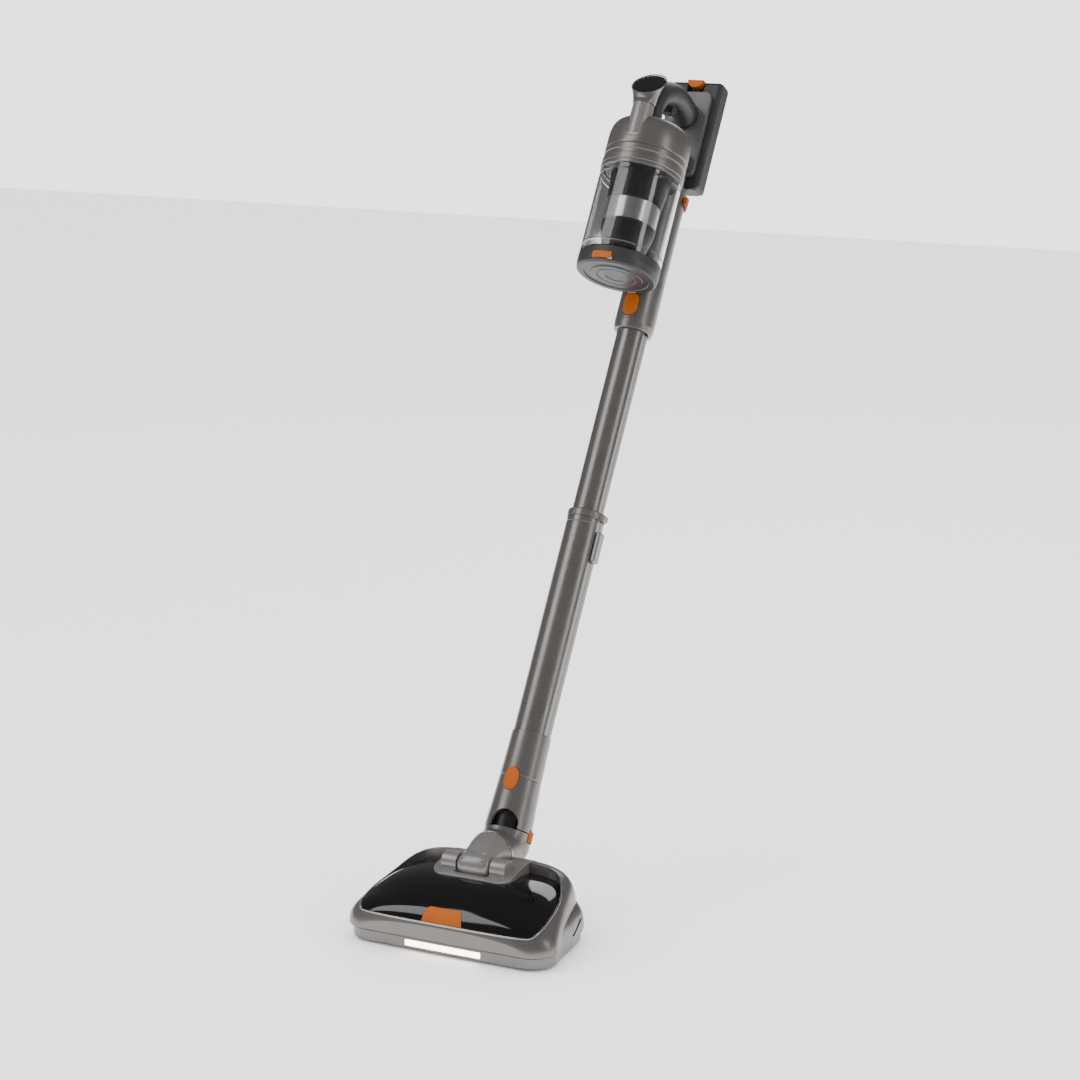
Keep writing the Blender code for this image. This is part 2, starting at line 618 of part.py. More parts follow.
def make_neck():
    turned("connector", [(0.0186, -0.0180), (0.0186, -0.0567), (AIRWAY_R, -0.0567), (AIRWAY_R, -0.0180)],
           BLACK, WAND, ring=True, steps=24)

    elbow = ball("elbow", ELBOW_R, ELBOW_CENTRE, GREY)
    barrel = rod("elbow_barrel", SWIVEL_R - 0.0004, (0, 0.0493, SWIVEL[2]), (0, 0.0800, SWIVEL[2]), "y",
                 None)
    neck = rod("elbow_neck", NECK_R, (0, 0, -0.0760), (0, 0, -0.0450), "z", None, WAND)
    above = block("elbow_top", (-0.05, -0.05, -0.0570), (0.05, 0.05, 0.01), None, WAND)
    way_down = rod("elbow_way_down", AIRWAY_R, (0, 0, -0.0750), (0, 0, -0.0400), "z", None, WAND, 24)
    way_front = rod("elbow_way_front", 0.0150, (0, 0.0400, SWIVEL[2]), (0, 0.0800, SWIVEL[2]), "y", None,
                    None, 24)
    corner = ball("elbow_corner", 0.0155, ELBOW_CENTRE)
    front = block("elbow_front", (-0.04, 0.0, 0.04), (0.04, 0.0493, 0.13))
    cut(join(elbow, barrel, neck), above, way_down, way_front, corner, front, heel_room("heel_pocket"))

    round_over(block("heel_release", on_wand(0.0206, -0.0004, -0.0660), on_wand(0.0264, -0.0116, -0.0520),
                     ORANGE, WAND), 0.0020)

    turned("swivel_ring", [(SWIVEL_R + 0.0006, 0.0010), (SWIVEL_R + 0.0006, -0.0010), (0.0155, -0.0010),
                           (0.0155, 0.0010)], STEEL, None, (0, 0.0480, SWIVEL[2]), (math.pi / 2, 0, 0),
           ring=True)

    make_yoke()


def make_yoke():
    top_line = [(0.0464, 0.1035), (0.0340, 0.1010), (0.0250, 0.0960)]
    nose = [(PIVOT[1] - NOSE_R * math.sin(math.radians(a)), PIVOT[2] + NOSE_R * math.cos(math.radians(a)))
            for a in range(-10, 171, 15)]
    side = top_line + nose + [(0.0270, 0.0585), (0.0464, 0.0565)]
    yoke = plate("yoke", side, 2 * YOKE_HALF, LIGHT_GREY, None, (0, 0, 0), (math.pi / 2, 0, math.pi / 2))
    round_over(yoke, 0.0060, 2)
    taper = rod("yoke_taper", 0.0170, (0, 0.0240, SWIVEL[2]), (0, 0.0464, SWIVEL[2]), "y", None, None, 28,
                SWIVEL_R)
    airway = rod("yoke_airway", 0.0131, (0, 0.0200, SWIVEL[2] - 0.0015), (0, 0.0600, SWIVEL[2]), "y",
                 None, None, 28)
    mouth = block("yoke_mouth", (-0.0132, 0.0050, 0.0500), (0.0132, 0.0350, 0.0860))
    pins = rod("yoke_pins", PIN_R + GAP, (-0.03, *PIVOT[1:]), (0.03, *PIVOT[1:]), "x", None, None, 24)
    flat = block("yoke_end", (-0.05, 0.0467, 0.0), (0.05, 0.1, 0.2))
    cut(join(yoke, taper), airway, mouth, pins, flat)

    hose = bpy.data.curves.new("neck_hose", "CURVE")
    hose.dimensions = "3D"
    hose.bevel_depth = 0.0117
    hose.bevel_resolution = 4
    hose.use_fill_caps = True
    spline = hose.splines.new("POLY")
    way = [(0.0460, 0.0794), (0.0370, 0.0788), (0.0285, 0.0766), (0.0225, 0.0725), (0.0190, 0.0665)]
    spline.points.add(len(way) - 1)
    for point, (y, z) in zip(spline.points, way):
        point.co = (0.0, y, z, 1.0)
    solid_from_curve(hose, "neck_hose", RUBBER)

    for name, sign in (("pivot_pin_left", -1), ("pivot_pin_right", 1)):
        ends = sorted((sign * 0.0145, sign * 0.0340))
        rod(name, PIN_R, (ends[0], *PIVOT[1:]), (ends[1], *PIVOT[1:]), "x", STEEL, None, 24)


# ---------------------------------------------------------------- head

def half_width(y, inset=0.0):
    """Half the head's width at y: sides that taper to the rear, with rounded corners."""
    front, rear = HEAD_FRONT + inset, HEAD_REAR - inset
    side = HEAD_HALF - inset - TAPER * max(0.0, y - (HEAD_FRONT + FRONT_CORNER))
    corner = 0.0
    if y < front + FRONT_CORNER:
        run = min(FRONT_CORNER, front + FRONT_CORNER - y)
        corner = FRONT_CORNER - math.sqrt(max(0.0, FRONT_CORNER ** 2 - run ** 2))
    if y > rear - REAR_CORNER:
        run = min(REAR_CORNER, y - rear + REAR_CORNER)
        corner = REAR_CORNER - math.sqrt(max(0.0, REAR_CORNER ** 2 - run ** 2))
    return side - corner


# height of the middle line of the head and of its window, from front to rear
CROWN_Y = (-0.0620, -0.0600, -0.0560, -0.0500, -0.0400, -0.0280, -0.0150, -0.0010, 0.0150, 0.0320, 0.0480,
           0.0600, 0.0690, 0.0730)
CROWN_Z = (0.0310, 0.0380, 0.0450, 0.0505, 0.0565, 0.0620, 0.0670, 0.0708, 0.0745, 0.0780, 0.0790,
           0.0760, 0.0680, 0.0560)
WINDOW_Z = (0.0310, 0.0380, 0.0450, 0.0505, 0.0565, 0.0620, 0.0665, 0.0692, 0.0700, 0.0695, 0.0670,
            0.0620, 0.0520, 0.0400)


def squareness(y):
    """How square the head's cross-section is: soft at the front, full at the rear."""
    return float(np.interp(y, (-0.062, -0.034, 0.018, 0.050), (2.6, 2.5, 3.6, 4.6)))


def half_section(wide, tall, foot, y, power):
    """Half of a superellipse that stands on foot, as points of the cross-section at y."""
    ring = []
    for angle in np.radians(np.linspace(0, 180, 19)):
        x, z = math.cos(angle), math.sin(angle)
        ring.append((wide * math.copysign(abs(x) ** power, x), y, foot + tall * abs(z) ** power))
    return ring


def head_form(name, inset=0.0, foot=SEAM_Z[1], paint=None, heights=CROWN_Z):
    """The head's outer form above the seam, or with an inset the hollow inside it."""
    rings = []
    for y, crown in zip(CROWN_Y, heights):
        place = min(max(y, HEAD_FRONT + inset), HEAD_REAR - inset)
        rings.append(half_section(half_width(place, inset), crown - inset - foot, foot, place,
                                  2 / squareness(y)))
    return loft(name, rings, paint)


def flare(y):
    """How far the fender beside each rear wheel stands out from the head's side."""
    return float(np.interp(y, (-0.030, -0.010, 0.020, 0.050, 0.062, 0.073),
                           (-0.002, 0.0012, 0.0060, 0.0095, 0.0090, 0.0030)))


def fender_form(name):
    """A low form that stands out from the head's rear sides."""
    rings = [half_section(half_width(y) + flare(y), 0.0400, SEAM_Z[1], y, 2 / 3)
             for y in (-0.0260, -0.0100, 0.0050, 0.0200, 0.0350, 0.0500, 0.0600, 0.0670, 0.0700)]
    return loft(name, rings)


def plan(inset=0.0):
    """The head's outline from above, with its fenders."""
    ys = [HEAD_FRONT + inset + t for t in (0.0, 0.0012, 0.0048, 0.0110, 0.0190, 0.0280)]
    ys += [-0.0100, 0.0200, 0.0470 - inset]
    ys += [HEAD_REAR - inset - t for t in (0.0160, 0.0080, 0.0030, 0.0)]
    right = [(half_width(y, inset) + max(0.0, flare(y)), y) for y in ys]
    return right + [(-x, y) for x, y in reversed(right)]


def upright(name, outline, low, high, paint=None):
    """A plan outline raised from low to high."""
    return plate(name, outline, high - low, paint, None, (0, 0, (low + high) / 2))


def wheel_well(name, sign, inwards, top):
    """Room for a rear wheel, and inwards for its post."""
    x, y = WHEEL_PLACE
    ends = sorted((sign * (x - inwards), sign * (x + 0.0070)))
    return block(name, (ends[0], y - 0.0165, -0.01), (ends[1], y + 0.0165, top))


def make_base():
    low, high = SOLE_Z, SEAM_Z[0]
    base = upright("head_base", plan(BASE_INSET), low, high, GREY)
    tray = upright("base_tray", plan(BASE_INSET + 0.0028), low + 0.0024, high + 0.01)
    mouth = block("mouth", (-0.1030, -0.0550, -0.01), (0.1030, -0.0060, 0.0300))
    notch = upright("base_notch", neck_notch(), -0.01, 0.03)
    wall = upright("notch_wall", neck_notch(-0.0026), low, high)
    felt_seat = block("felt_seat", (-0.0970, -0.0052, -0.01), (0.0970, 0.0052, 0.0026))
    cut(base, tray)
    keep(wall, upright("wall_keep", plan(BASE_INSET + 0.0020), low, high))
    join(base, wall)
    cut(base, mouth, notch)
    for sign in (-1, 1):
        cut(base, wheel_well(f"wheel_well_{sign}", sign, 0.0072, 0.05))
        x, y = ROLLER_PLACE
        seat = block(f"roller_seat_{sign}", (sign * x - 0.0065, y - 0.0072, -0.01),
                     (sign * x + 0.0065, y + 0.0072, 0.05))
        cut(base, seat)
    cut(base, felt_seat)
    for sign, side in ((-1, "left"), (1, "right")):
        x, y = WHEEL_PLACE
        stub = rod(f"wheel_stub_{side}", 0.0022, (sign * (x - 0.0150), y, WHEEL_R),
                   (sign * (x + 0.0040), y, WHEEL_R), "x", None, None, 16)
        post = block(f"wheel_post_{side}", (sign * (x - 0.0120) - 0.0030, y - 0.0040, low),
                     (sign * (x - 0.0120) + 0.0030, y + 0.0040, WHEEL_R + 0.0040))
        join(base, post, stub)
        wheel = turned(f"wheel_{side}", [(WHEEL_R - 0.0015, 0.0060), (WHEEL_R, 0.0045), (WHEEL_R, -0.0045),
                                         (WHEEL_R - 0.0015, -0.0060), (0.0026, -0.0060), (0.0026, 0.0060)],
                       RUBBER, None, (sign * x, y, WHEEL_R), (0, math.pi / 2, 0), ring=True, steps=28)
        x, y = ROLLER_PLACE
        post = rod(f"roller_stub_{side}", 0.0015, (sign * x - 0.0080, y, ROLLER_R),
                   (sign * x + 0.0080, y, ROLLER_R), "x", None, None, 12)
        join(base, post)
        turned(f"front_roller_{side}", [(ROLLER_R, 0.0058), (ROLLER_R, -0.0058), (0.0019, -0.0058),
                                        (0.0019, 0.0058)], RUBBER, None, (sign * x, y, ROLLER_R),
               (0, math.pi / 2, 0), ring=True, steps=24)
    front = HEAD_FRONT + BASE_INSET
    half, foot, head = LENS_SIZE
    cut(base, block("lens_seat", (-half - 0.0004, front - 0.01, foot - 0.0004),
                    (half + 0.0004, front + 0.0022, head + 0.0004)))
    block("led_lens", (-half, front - 0.0006, foot), (half, front + 0.0018, head), LENS, None, 0.0006, 1)
    block("felt_strip", (-0.0950, -0.0050, 0.0), (0.0950, 0.0050, 0.0023), RUBBER)

    strip = upright("bumper_strip", plan(0.0018), SEAM_Z[0] + GAP, SEAM_Z[1] - GAP, RUBBER)
    inner = upright("bumper_inner", plan(0.0064), 0.0, 0.03)
    cut(strip, inner, block("bumper_end", (-0.15, WHEEL_PLACE[1] - 0.0180, 0.0), (0.15, 0.15, 0.03)))


def neck_notch(inset=0.0):
    """The opening at the rear of the head that the neck lies down in."""
    half, front = NOTCH_HALF - inset, 0.0400 + inset
    return [(-half, 0.12), (-half, front + 0.0100)] + arc((-half + 0.0100, front + 0.0100), 0.0100, 180,
           270, 5)[1:] + arc((half - 0.0100, front + 0.0100), 0.0100, 270, 360, 5) + [(half, 0.12)]


def window_plan(inset=0.0):
    """The window's outline from above, as wide as its opening less the inset."""
    right = [(x - inset, y) for x, y in ((0.0900, -0.0700), (0.1010, -0.0540), (0.1050, -0.0440),
                                         (0.1060, -0.0300), (0.1045, -0.0100), (0.1010, 0.0080),
                                         (0.0960, 0.0220), (0.0900, 0.0330), (0.0850, 0.0400))]
    right += [(0.0790 - inset, 0.0440 - inset), (0.0700, 0.0460 - inset)]
    if inset:
        # the window itself stops round its latch
        right = tab_plan(inset)[4:0:-1] + right
    return right + [(-x, y) for x, y in reversed(right)]


def cradle_plan(inset=0.0):
    """The neck cradle's outline from above."""
    half, front, corner = CRADLE_HALF + inset, CRADLE_FRONT - inset, 0.0150
    right = arc((half - corner, front + corner), corner, -90, 0, 6) + [(half, 0.0640), (half - 0.006, 0.0700)]
    return right + [(-x, y) for x, y in reversed(right)]


def make_housing():
    housing = head_form("head_housing", 0.0, SEAM_Z[1], GREY)
    hollow = head_form("housing_hollow", SHELL, SEAM_Z[1] - 0.001, None, WINDOW_Z)
    opening = upright("window_opening", window_plan(), 0.0350, 0.12)
    seat = upright("cradle_opening", cradle_plan(GAP), 0.0300, 0.12)
    notch = upright("housing_notch", neck_notch(), 0.0, 0.12)
    cut(join(housing, fender_form("fender")), hollow, opening, seat, notch)
    for sign in (-1, 1):
        cut(housing, wheel_well(f"housing_well_{sign}", sign, 0.0155, 2 * WHEEL_R + 0.0010))

    window = head_form("window_cover", 0.0002, SEAM_Z[1], SMOKED, WINDOW_Z)
    room = head_form("window_hollow", 0.0026, SEAM_Z[1] - 0.001, None, WINDOW_Z)
    frame_of_it = upright("window_outline", window_plan(GAP), 0.0354, 0.12)
    cradle = upright("window_cradle", cradle_plan(2 * GAP), 0.0300, 0.12)
    keep(cut(window, room), frame_of_it)
    cut(window, cradle)

    latch = head_form("window_latch", -0.0006, SEAM_Z[1], ORANGE, WINDOW_Z)
    latch_room = head_form("latch_hollow", 0.0024, SEAM_Z[1] - 0.001, None, WINDOW_Z)
    keep(cut(latch, latch_room), upright("latch_outline", tab_plan(), 0.0356, 0.0550))


def tab_plan(spread=0.0):
    """The window latch's outline from above."""
    wide, narrow = 0.0234 + spread, 0.0196 + spread
    return [(-wide, -0.0730), (wide, -0.0730), (wide, -0.0603), (narrow, -0.0530 + spread),
            (narrow - 0.0020, -0.0516 + spread), (-narrow + 0.0020, -0.0516 + spread),
            (-narrow, -0.0530 + spread), (-wide, -0.0603)]


def make_cradle():
    cradle = head_form("neck_cradle", -0.0004, SEAM_Z[1], LIGHT_GREY)
    room = head_form("cradle_hollow", 0.0036, SEAM_Z[1] - 0.001, None, WINDOW_Z)
    keep(cut(cradle, room), upright("cradle_outline", cradle_plan(), 0.0300, 0.12))
    for name, sign in (("left", -1), ("right", 1)):
        ends = sorted((sign * 0.0200, sign * 0.0380))
        join(cradle, rod(f"barrel_{name}", BARREL_R, (ends[0], *PIVOT[1:]), (ends[1], *PIVOT[1:]), "x"))
    half = YOKE_HALF + 0.0008
    front = PIVOT[1] - NOSE_R - 0.0006
    way = [(-0.0270, 0.0900), (-0.0270, 0.0330), (-half, 0.0200), (-half, front), (half, front),
           (half, 0.0200), (0.0270, 0.0330), (0.0270, 0.0900)]
    slot = upright("yoke_slot", way, 0.0, 0.12)
    bore = rod("pin_bore", PIN_R + GAP, (-0.0345, *PIVOT[1:]), (0.0345, *PIVOT[1:]), "x", None, None, 24)
    notch = upright("cradle_notch", neck_notch(), 0.0, 0.12)
    cut(cradle, slot, bore, notch)


def make_brush():
    y, z = BRUSH_AXIS
    half = BRUSH_HALF
    turned("brush_core", [(0, half), (0.0050, half), (0.0050, half - 0.0080), (0.0160, half - 0.0080),
                          (0.0160, -0.0890), (0.0120, -0.0890), (0.0120, BRUSH_END), (0, BRUSH_END)],
           BLACK, None, (0, y, z), (0, math.pi / 2, 0), steps=24)
    rings = []
    for share in np.linspace(0, 1, 33):
        x = -0.0860 + share * 0.1760
        ring = []
        for radius, swing in ((0.0168, -0.20), (BRISTLE_R, -0.12), (BRISTLE_R, 0.12), (0.0168, 0.20)):
            angle = 2 * math.pi * share + swing
            ring.append((x, radius * math.cos(angle), radius * math.sin(angle)))
        rings.append(ring)
    loft("bristle_strip", rings, NYLON, None, (0, y, z))
    turned("brush_bearing", [(0.0100, 0.0035), (0.0100, -0.0035), (0.0053, -0.0035), (0.0053, 0.0035)],
           STEEL, None, (half - 0.0038, y, z), (0, math.pi / 2, 0), ring=True, steps=24)

    motor_y, motor_z = BRUSH_MOTOR
    rod("brush_motor", 0.0150, (-0.0860, motor_y, motor_z), (-0.0400, motor_y, motor_z), "x", STEEL, None, 28)
    turned("motor_pulley", [(0, 0.0040), (0.0070, 0.0040), (0.0070, -0.0040), (0, -0.0040)], DARK, None,
           (BELT_X, motor_y, motor_z), (0, math.pi / 2, 0), steps=20)
    small, large = 0.0073, 0.0123
    span = math.hypot(motor_y - y, motor_z - z)
    rise = math.atan2(motor_z - z, motor_y - y)
    lean = math.acos((large - small) / span)

    def loop(extra):
        first = [(y + (large + extra) * math.cos(a), z + (large + extra) * math.sin(a))
                 for a in np.linspace(rise + lean, rise + 2 * math.pi - lean, 16)]
        second = [(motor_y + (small + extra) * math.cos(a), motor_z + (small + extra) * math.sin(a))
                  for a in np.linspace(rise - lean, rise + lean, 10)]
        return first + second

    on_its_edge = (math.pi / 2, 0, math.pi / 2)
    belt = plate("drive_belt", loop(0.0016), 0.0060, RUBBER, None, (BELT_X, 0, 0), on_its_edge)
    cut(belt, plate("belt_inner", loop(0.0), 0.0200, None, None, (BELT_X, 0, 0), on_its_edge))


make_wand()
make_duct()
make_collar_and_housing()
make_motor()
make_cyclone()
make_cup()
make_handle()
make_dock_and_battery()
make_display()
make_neck()
make_base()
make_housing()
make_cradle()
make_brush()
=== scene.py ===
"""Looks of a cordless stick vacuum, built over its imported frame.

Lengths are metres, +X to the machine's right, -Y to its front, +Z up. A place on
the wand is x across, n in front of its axis and s up its axis.
"""

import math

import bmesh
import bpy
import numpy as np
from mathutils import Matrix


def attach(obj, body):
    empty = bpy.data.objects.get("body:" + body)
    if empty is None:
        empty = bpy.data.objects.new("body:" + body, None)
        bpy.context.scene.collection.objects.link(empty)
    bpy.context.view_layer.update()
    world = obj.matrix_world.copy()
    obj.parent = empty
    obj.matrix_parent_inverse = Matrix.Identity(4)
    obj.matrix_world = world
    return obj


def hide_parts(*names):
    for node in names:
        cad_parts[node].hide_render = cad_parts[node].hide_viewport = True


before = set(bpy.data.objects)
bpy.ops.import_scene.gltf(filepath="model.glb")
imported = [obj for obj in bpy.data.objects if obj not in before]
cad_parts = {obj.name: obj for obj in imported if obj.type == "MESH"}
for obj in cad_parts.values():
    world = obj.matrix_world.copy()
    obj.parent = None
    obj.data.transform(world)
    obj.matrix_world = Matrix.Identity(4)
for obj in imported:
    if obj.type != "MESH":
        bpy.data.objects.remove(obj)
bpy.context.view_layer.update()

LEAN = math.radians(30.6)
RIGHT = np.array((1.0, 0.0, 0.0))
UP_WAND = np.array((0.0, math.sin(LEAN), math.cos(LEAN)))
BACK_WAND = np.array((0.0, math.cos(LEAN), -math.sin(LEAN)))
WAND_FOOT = np.array((0.0, 0.1122, 0.1442))
CUP_N = 0.0710
GAP = 0.0003
TURN = 2 * math.pi
ROOM_LIGHT = (2.6, 0.16)      # what other rays and what shiny reflections see of the room


# ---------------------------------------------------------------- camera, light and floor

def make_camera():
    data = bpy.data.cameras.new("camera")
    data.lens = 100
    data.sensor_width = 36
    camera = bpy.data.objects.new("camera", data)
    bpy.context.scene.collection.objects.link(camera)
    camera.location = (1.46913, -2.60603, 1.09320)
    camera.rotation_euler = (math.radians(77.5), 0, math.radians(28))
    bpy.context.scene.camera = camera


def softbox(name, place, aim, size, power):
    """A rectangular area lamp at place, turned to face aim."""
    data = bpy.data.lights.new(name, "AREA")
    data.shape = "RECTANGLE"
    data.size, data.size_y = size
    data.energy = power
    lamp = bpy.data.objects.new(name, data)
    bpy.context.scene.collection.objects.link(lamp)
    lamp.location = place
    towards = np.array(place) - np.array(aim)
    lamp.rotation_euler = (math.atan2(math.hypot(towards[0], towards[1]), towards[2]), 0,
                           math.atan2(towards[0], -towards[1]))
    return lamp


def stage_plane(name, corners, colour, roughness):
    mesh = bpy.data.meshes.new(name)
    mesh.from_pydata(corners, [], [(0, 1, 2, 3)])
    plane = bpy.data.objects.new(name, mesh)
    bpy.context.scene.collection.objects.link(plane)
    finish = Finish(name, colour, roughness)
    mesh.materials.append(finish.material)
    return plane


def make_studio():
    world = bpy.data.worlds.new("studio")
    world.use_nodes = True
    bpy.context.scene.world = world
    # shiny faces see a dim room, so that the softboxes stand out on them
    sky = world.node_tree.nodes["Background"]
    ray = world.node_tree.nodes.new("ShaderNodeLightPath")
    level = world.node_tree.nodes.new("ShaderNodeMapRange")
    level.inputs["To Min"].default_value, level.inputs["To Max"].default_value = ROOM_LIGHT
    world.node_tree.links.new(ray.outputs["Is Glossy Ray"], level.inputs["Value"])
    world.node_tree.links.new(level.outputs["Result"], sky.inputs["Strength"])
    sky.inputs["Color"].default_value = (1.0, 1.0, 1.0, 1.0)
    stage_plane("floor", [(-6, -6, -0.0004), (6, -6, -0.0004), (6, 6, -0.0004), (-6, 6, -0.0004)],
                (0.90, 0.90, 0.895), 0.6)
    softbox("left_box", (-1.25, -1.05, 2.05), (0, 0.3, 0.45), (1.1, 1.7), 19)
    softbox("right_box", (2.3, 0.1, 1.35), (0, 0.3, 0.45), (0.4, 1.7), 9)
    softbox("back_box", (-0.4, 2.6, 1.9), (0, 0.3, 0.45), (1.6, 0.9), 12)


# ---------------------------------------------------------------- shader maths

class Value:
    """A shader socket that arithmetic can be written with."""

    def __init__(self, finish, socket):
        self.finish = finish
        self.socket = socket

    def _math(self, operation, first, second=None):
        sockets = {0: first} if second is None else {0: first, 1: second}
        return self.finish.node("ShaderNodeMath", {"operation": operation}, sockets)

    def __add__(self, other):
        return self._math("ADD", self, other)

    def __radd__(self, other):
        return self._math("ADD", other, self)

    def __sub__(self, other):
        return self._math("SUBTRACT", self, other)

    def __rsub__(self, other):
        return self._math("SUBTRACT", other, self)

    def __mul__(self, other):
        return self._math("MULTIPLY", self, other)

    def __rmul__(self, other):
        return self._math("MULTIPLY", other, self)

    def __truediv__(self, other):
        return self._math("DIVIDE", self, other)

    def __pow__(self, other):
        return self._math("POWER", self, other)

    def __gt__(self, other):
        return self._math("GREATER_THAN", self, other)

    def __lt__(self, other):
        return self._math("LESS_THAN", self, other)

    def part(self):
        """Its fractional part."""
        return self._math("FRACT", self)

    def whole(self):
        return self._math("FLOOR", self)

    def size(self):
        """Its size without its sign."""
        return self._math("ABSOLUTE", self)

    def sine(self):
        return self._math("SINE", self)


class Finish:
    """A Principled material under one name, and the nodes that vary it."""

    def __init__(self, name, colour, roughness, metallic=0.0, **constants):
        self.material = bpy.data.materials.new(name)
        self.material.use_nodes = True
        self.tree = self.material.node_tree
        self.shader = self.tree.nodes["Principled BSDF"]
        self.colour = (*colour, 1.0)
        self.roughness = roughness
        self.material.diffuse_color = self.colour
        self.set("Base Color", self.colour)
        self.set("Roughness", roughness)
        self.set("Metallic", metallic)
        for socket, value in constants.items():
            self.set(socket.replace("_", " "), value)

    def set(self, socket, value):
        if isinstance(value, Value):
            self.tree.links.new(value.socket, self.shader.inputs[socket])
        else:
            self.shader.inputs[socket].default_value = value

    def node(self, kind, settings, sockets, out=0):
        """A node of that type: its settings, then its sockets' values or links."""
        made = self.tree.nodes.new(kind)
        for key, value in settings.items():
            if key == "stops":
                for element, (place, colour) in zip(made.color_ramp.elements, value):
                    element.position, element.color = place, colour
            else:
                setattr(made, key, value)
        for key, value in sockets.items():
            if isinstance(value, Value):
                self.tree.links.new(value.socket, made.inputs[key])
            else:
                made.inputs[key].default_value = value
        return Value(self, made.outputs[out])

    def place(self):
        """The point's place on the object."""
        return self.node("ShaderNodeTexCoord", {}, {}, "Object")

    def dot(self, vector, along):
        return self.node("ShaderNodeVectorMath", {"operation": "DOT_PRODUCT"}, {0: vector, 1: tuple(along)},
                         "Value")

    def wand_place(self, stretch=1.0):
        """Place by x, distance in front of the wand and height up it, its height divided by stretch."""
        here = self.place()
        away = self.node("ShaderNodeVectorMath", {"operation": "SUBTRACT"}, {0: here, 1: tuple(WAND_FOOT)})
        return self.node("ShaderNodeCombineXYZ", {}, {0: self.dot(away, RIGHT), 1: self.dot(away, -BACK_WAND),
                                                      2: self.dot(away, UP_WAND / stretch)})

    def noise(self, scale, detail=2.0, vector=None):
        """Noise from 0 to 1, its grains about 1 / scale across."""
        return self.node("ShaderNodeTexNoise", {}, {"Vector": vector or self.place(), "Scale": scale,
                                                    "Detail": detail, "Roughness": 0.55}, "Fac")

    def limit(self, value, low, high, to_low=0.0, to_high=1.0):
        """Value between low and high brought onto to_low and to_high."""
        return self.node("ShaderNodeMapRange", {"clamp": True},
                         {"Value": value, "From Min": low, "From Max": high, "To Min": to_low,
                          "To Max": to_high}, "Result")

    def mix(self, mask, first, second):
        """The first colour where mask is 0 and the second where it is 1."""
        return self.node("ShaderNodeMix", {"data_type": "RGBA"}, {0: mask, 6: first, 7: second}, 2)

    def edges(self, width=0.0008):
        """1 along edges and 0 on open faces, from how far a rounded normal leans from the plain one; it places the
        painted edge highlights.
        """
        rounded = self.node("ShaderNodeBevel", {"samples": 4}, {"Radius": width})
        plain = self.node("ShaderNodeNewGeometry", {}, {}, "Normal")
        lean = self.node("ShaderNodeVectorMath", {"operation": "DOT_PRODUCT"}, {0: rounded, 1: plain}, "Value")
        return self.limit(1.0 - lean, 0.02, 0.22)

    def relief(self, height, depth, soften=0.0007):
        """A bump of that depth, over edges softened by a small radius."""
        rounded = self.node("ShaderNodeBevel", {"samples": 4}, {"Radius": soften})
        bump = self.node("ShaderNodeBump", {}, {"Height": height, "Distance": depth, "Strength": 1.0,
                                                "Normal": rounded})
        self.set("Normal", bump)

    def shade(self, factor):
        """The finish's own colour times factor."""
        return tuple(min(1.0, channel * factor) for channel in self.colour[:3]) + (1.0,)


def metallic_paint(name, colour, roughness=0.33, metallic=0.82, streaks=False):
    """Paint with metal flake: fine noise lightens some flakes, a broad one varies the gloss, and the colour is painted
    lighter along edges as a painted highlight.
    """
    finish = Finish(name, colour, roughness, metallic, IOR=1.5, Coat_Weight=0.25, Coat_Roughness=0.2)
    flake = finish.noise(5200, 1.0)
    broad = finish.noise(38, 3.0)
    edge = finish.edges()
    base = finish.mix(finish.limit(flake, 0.45, 0.75), finish.shade(0.9), finish.shade(1.25))
    # painted highlight: the colour is lightened along every edge, standing in for light caught on the edges
    finish.set("Base Color", finish.mix(edge * 0.55, base, finish.shade(2.1)))
    finish.set("Roughness", finish.limit(broad + 0.35 * flake, 0.35, 1.0, roughness - 0.06, roughness + 0.08))
    height = flake * 0.35
    if streaks:
        drawn = finish.noise(1500, 2.0, finish.wand_place(60))
        height = height + drawn
    finish.relief(height, 0.000025)
    return finish.material


def moulded(name, colour, roughness=0.42, grain=2600, depth=0.00004, **constants):
    """Moulded plastic: spark-eroded grain as bump, gloss that varies a little, edges painted lighter as a painted
    highlight.
    """
    finish = Finish(name, colour, roughness, 0.0, IOR=1.48, **constants)
    fine = finish.noise(grain, 2.0)
    broad = finish.noise(30, 3.0)
    edge = finish.edges()
    base = finish.mix(finish.limit(broad, 0.35, 0.7), finish.shade(0.93), finish.shade(1.08))
    # painted highlight: the colour is lightened along every edge
    finish.set("Base Color", finish.mix(edge * 0.4, base, finish.shade(1.9)))
    finish.set("Roughness", finish.limit(fine * 0.5 + broad, 0.5, 1.1, roughness - 0.05, roughness + 0.09))
    finish.relief(fine, depth)
    return finish.material


def polished(name, colour, roughness=0.05, **constants):
    """Polished dark plastic with fine hairlines in its gloss."""
    finish = Finish(name, colour, roughness, 0.0, IOR=1.5, **constants)
    wipe = finish.noise(420, 3.0, finish.wand_place(8))
    smear = finish.noise(22, 3.0)
    finish.set("Roughness", finish.limit(wipe * 0.4 + smear, 0.45, 1.05, roughness, roughness + 0.07))
    finish.set("Base Color", finish.mix(finish.limit(smear, 0.4, 0.8), finish.shade(0.8), finish.shade(1.5)))
    finish.relief(smear, 0.00002, 0.0005)
    return finish.material


def clear(name, colour, roughness=0.03):
    """Clear moulded plastic with faint wipe marks in its gloss."""
    finish = Finish(name, colour, roughness, 0.0, IOR=1.46, Transmission_Weight=1.0)
    wipe = finish.noise(160, 3.0, finish.wand_place(5))
    finish.set("Roughness", finish.limit(wipe, 0.4, 0.8, roughness, roughness + 0.06))
    return finish.material


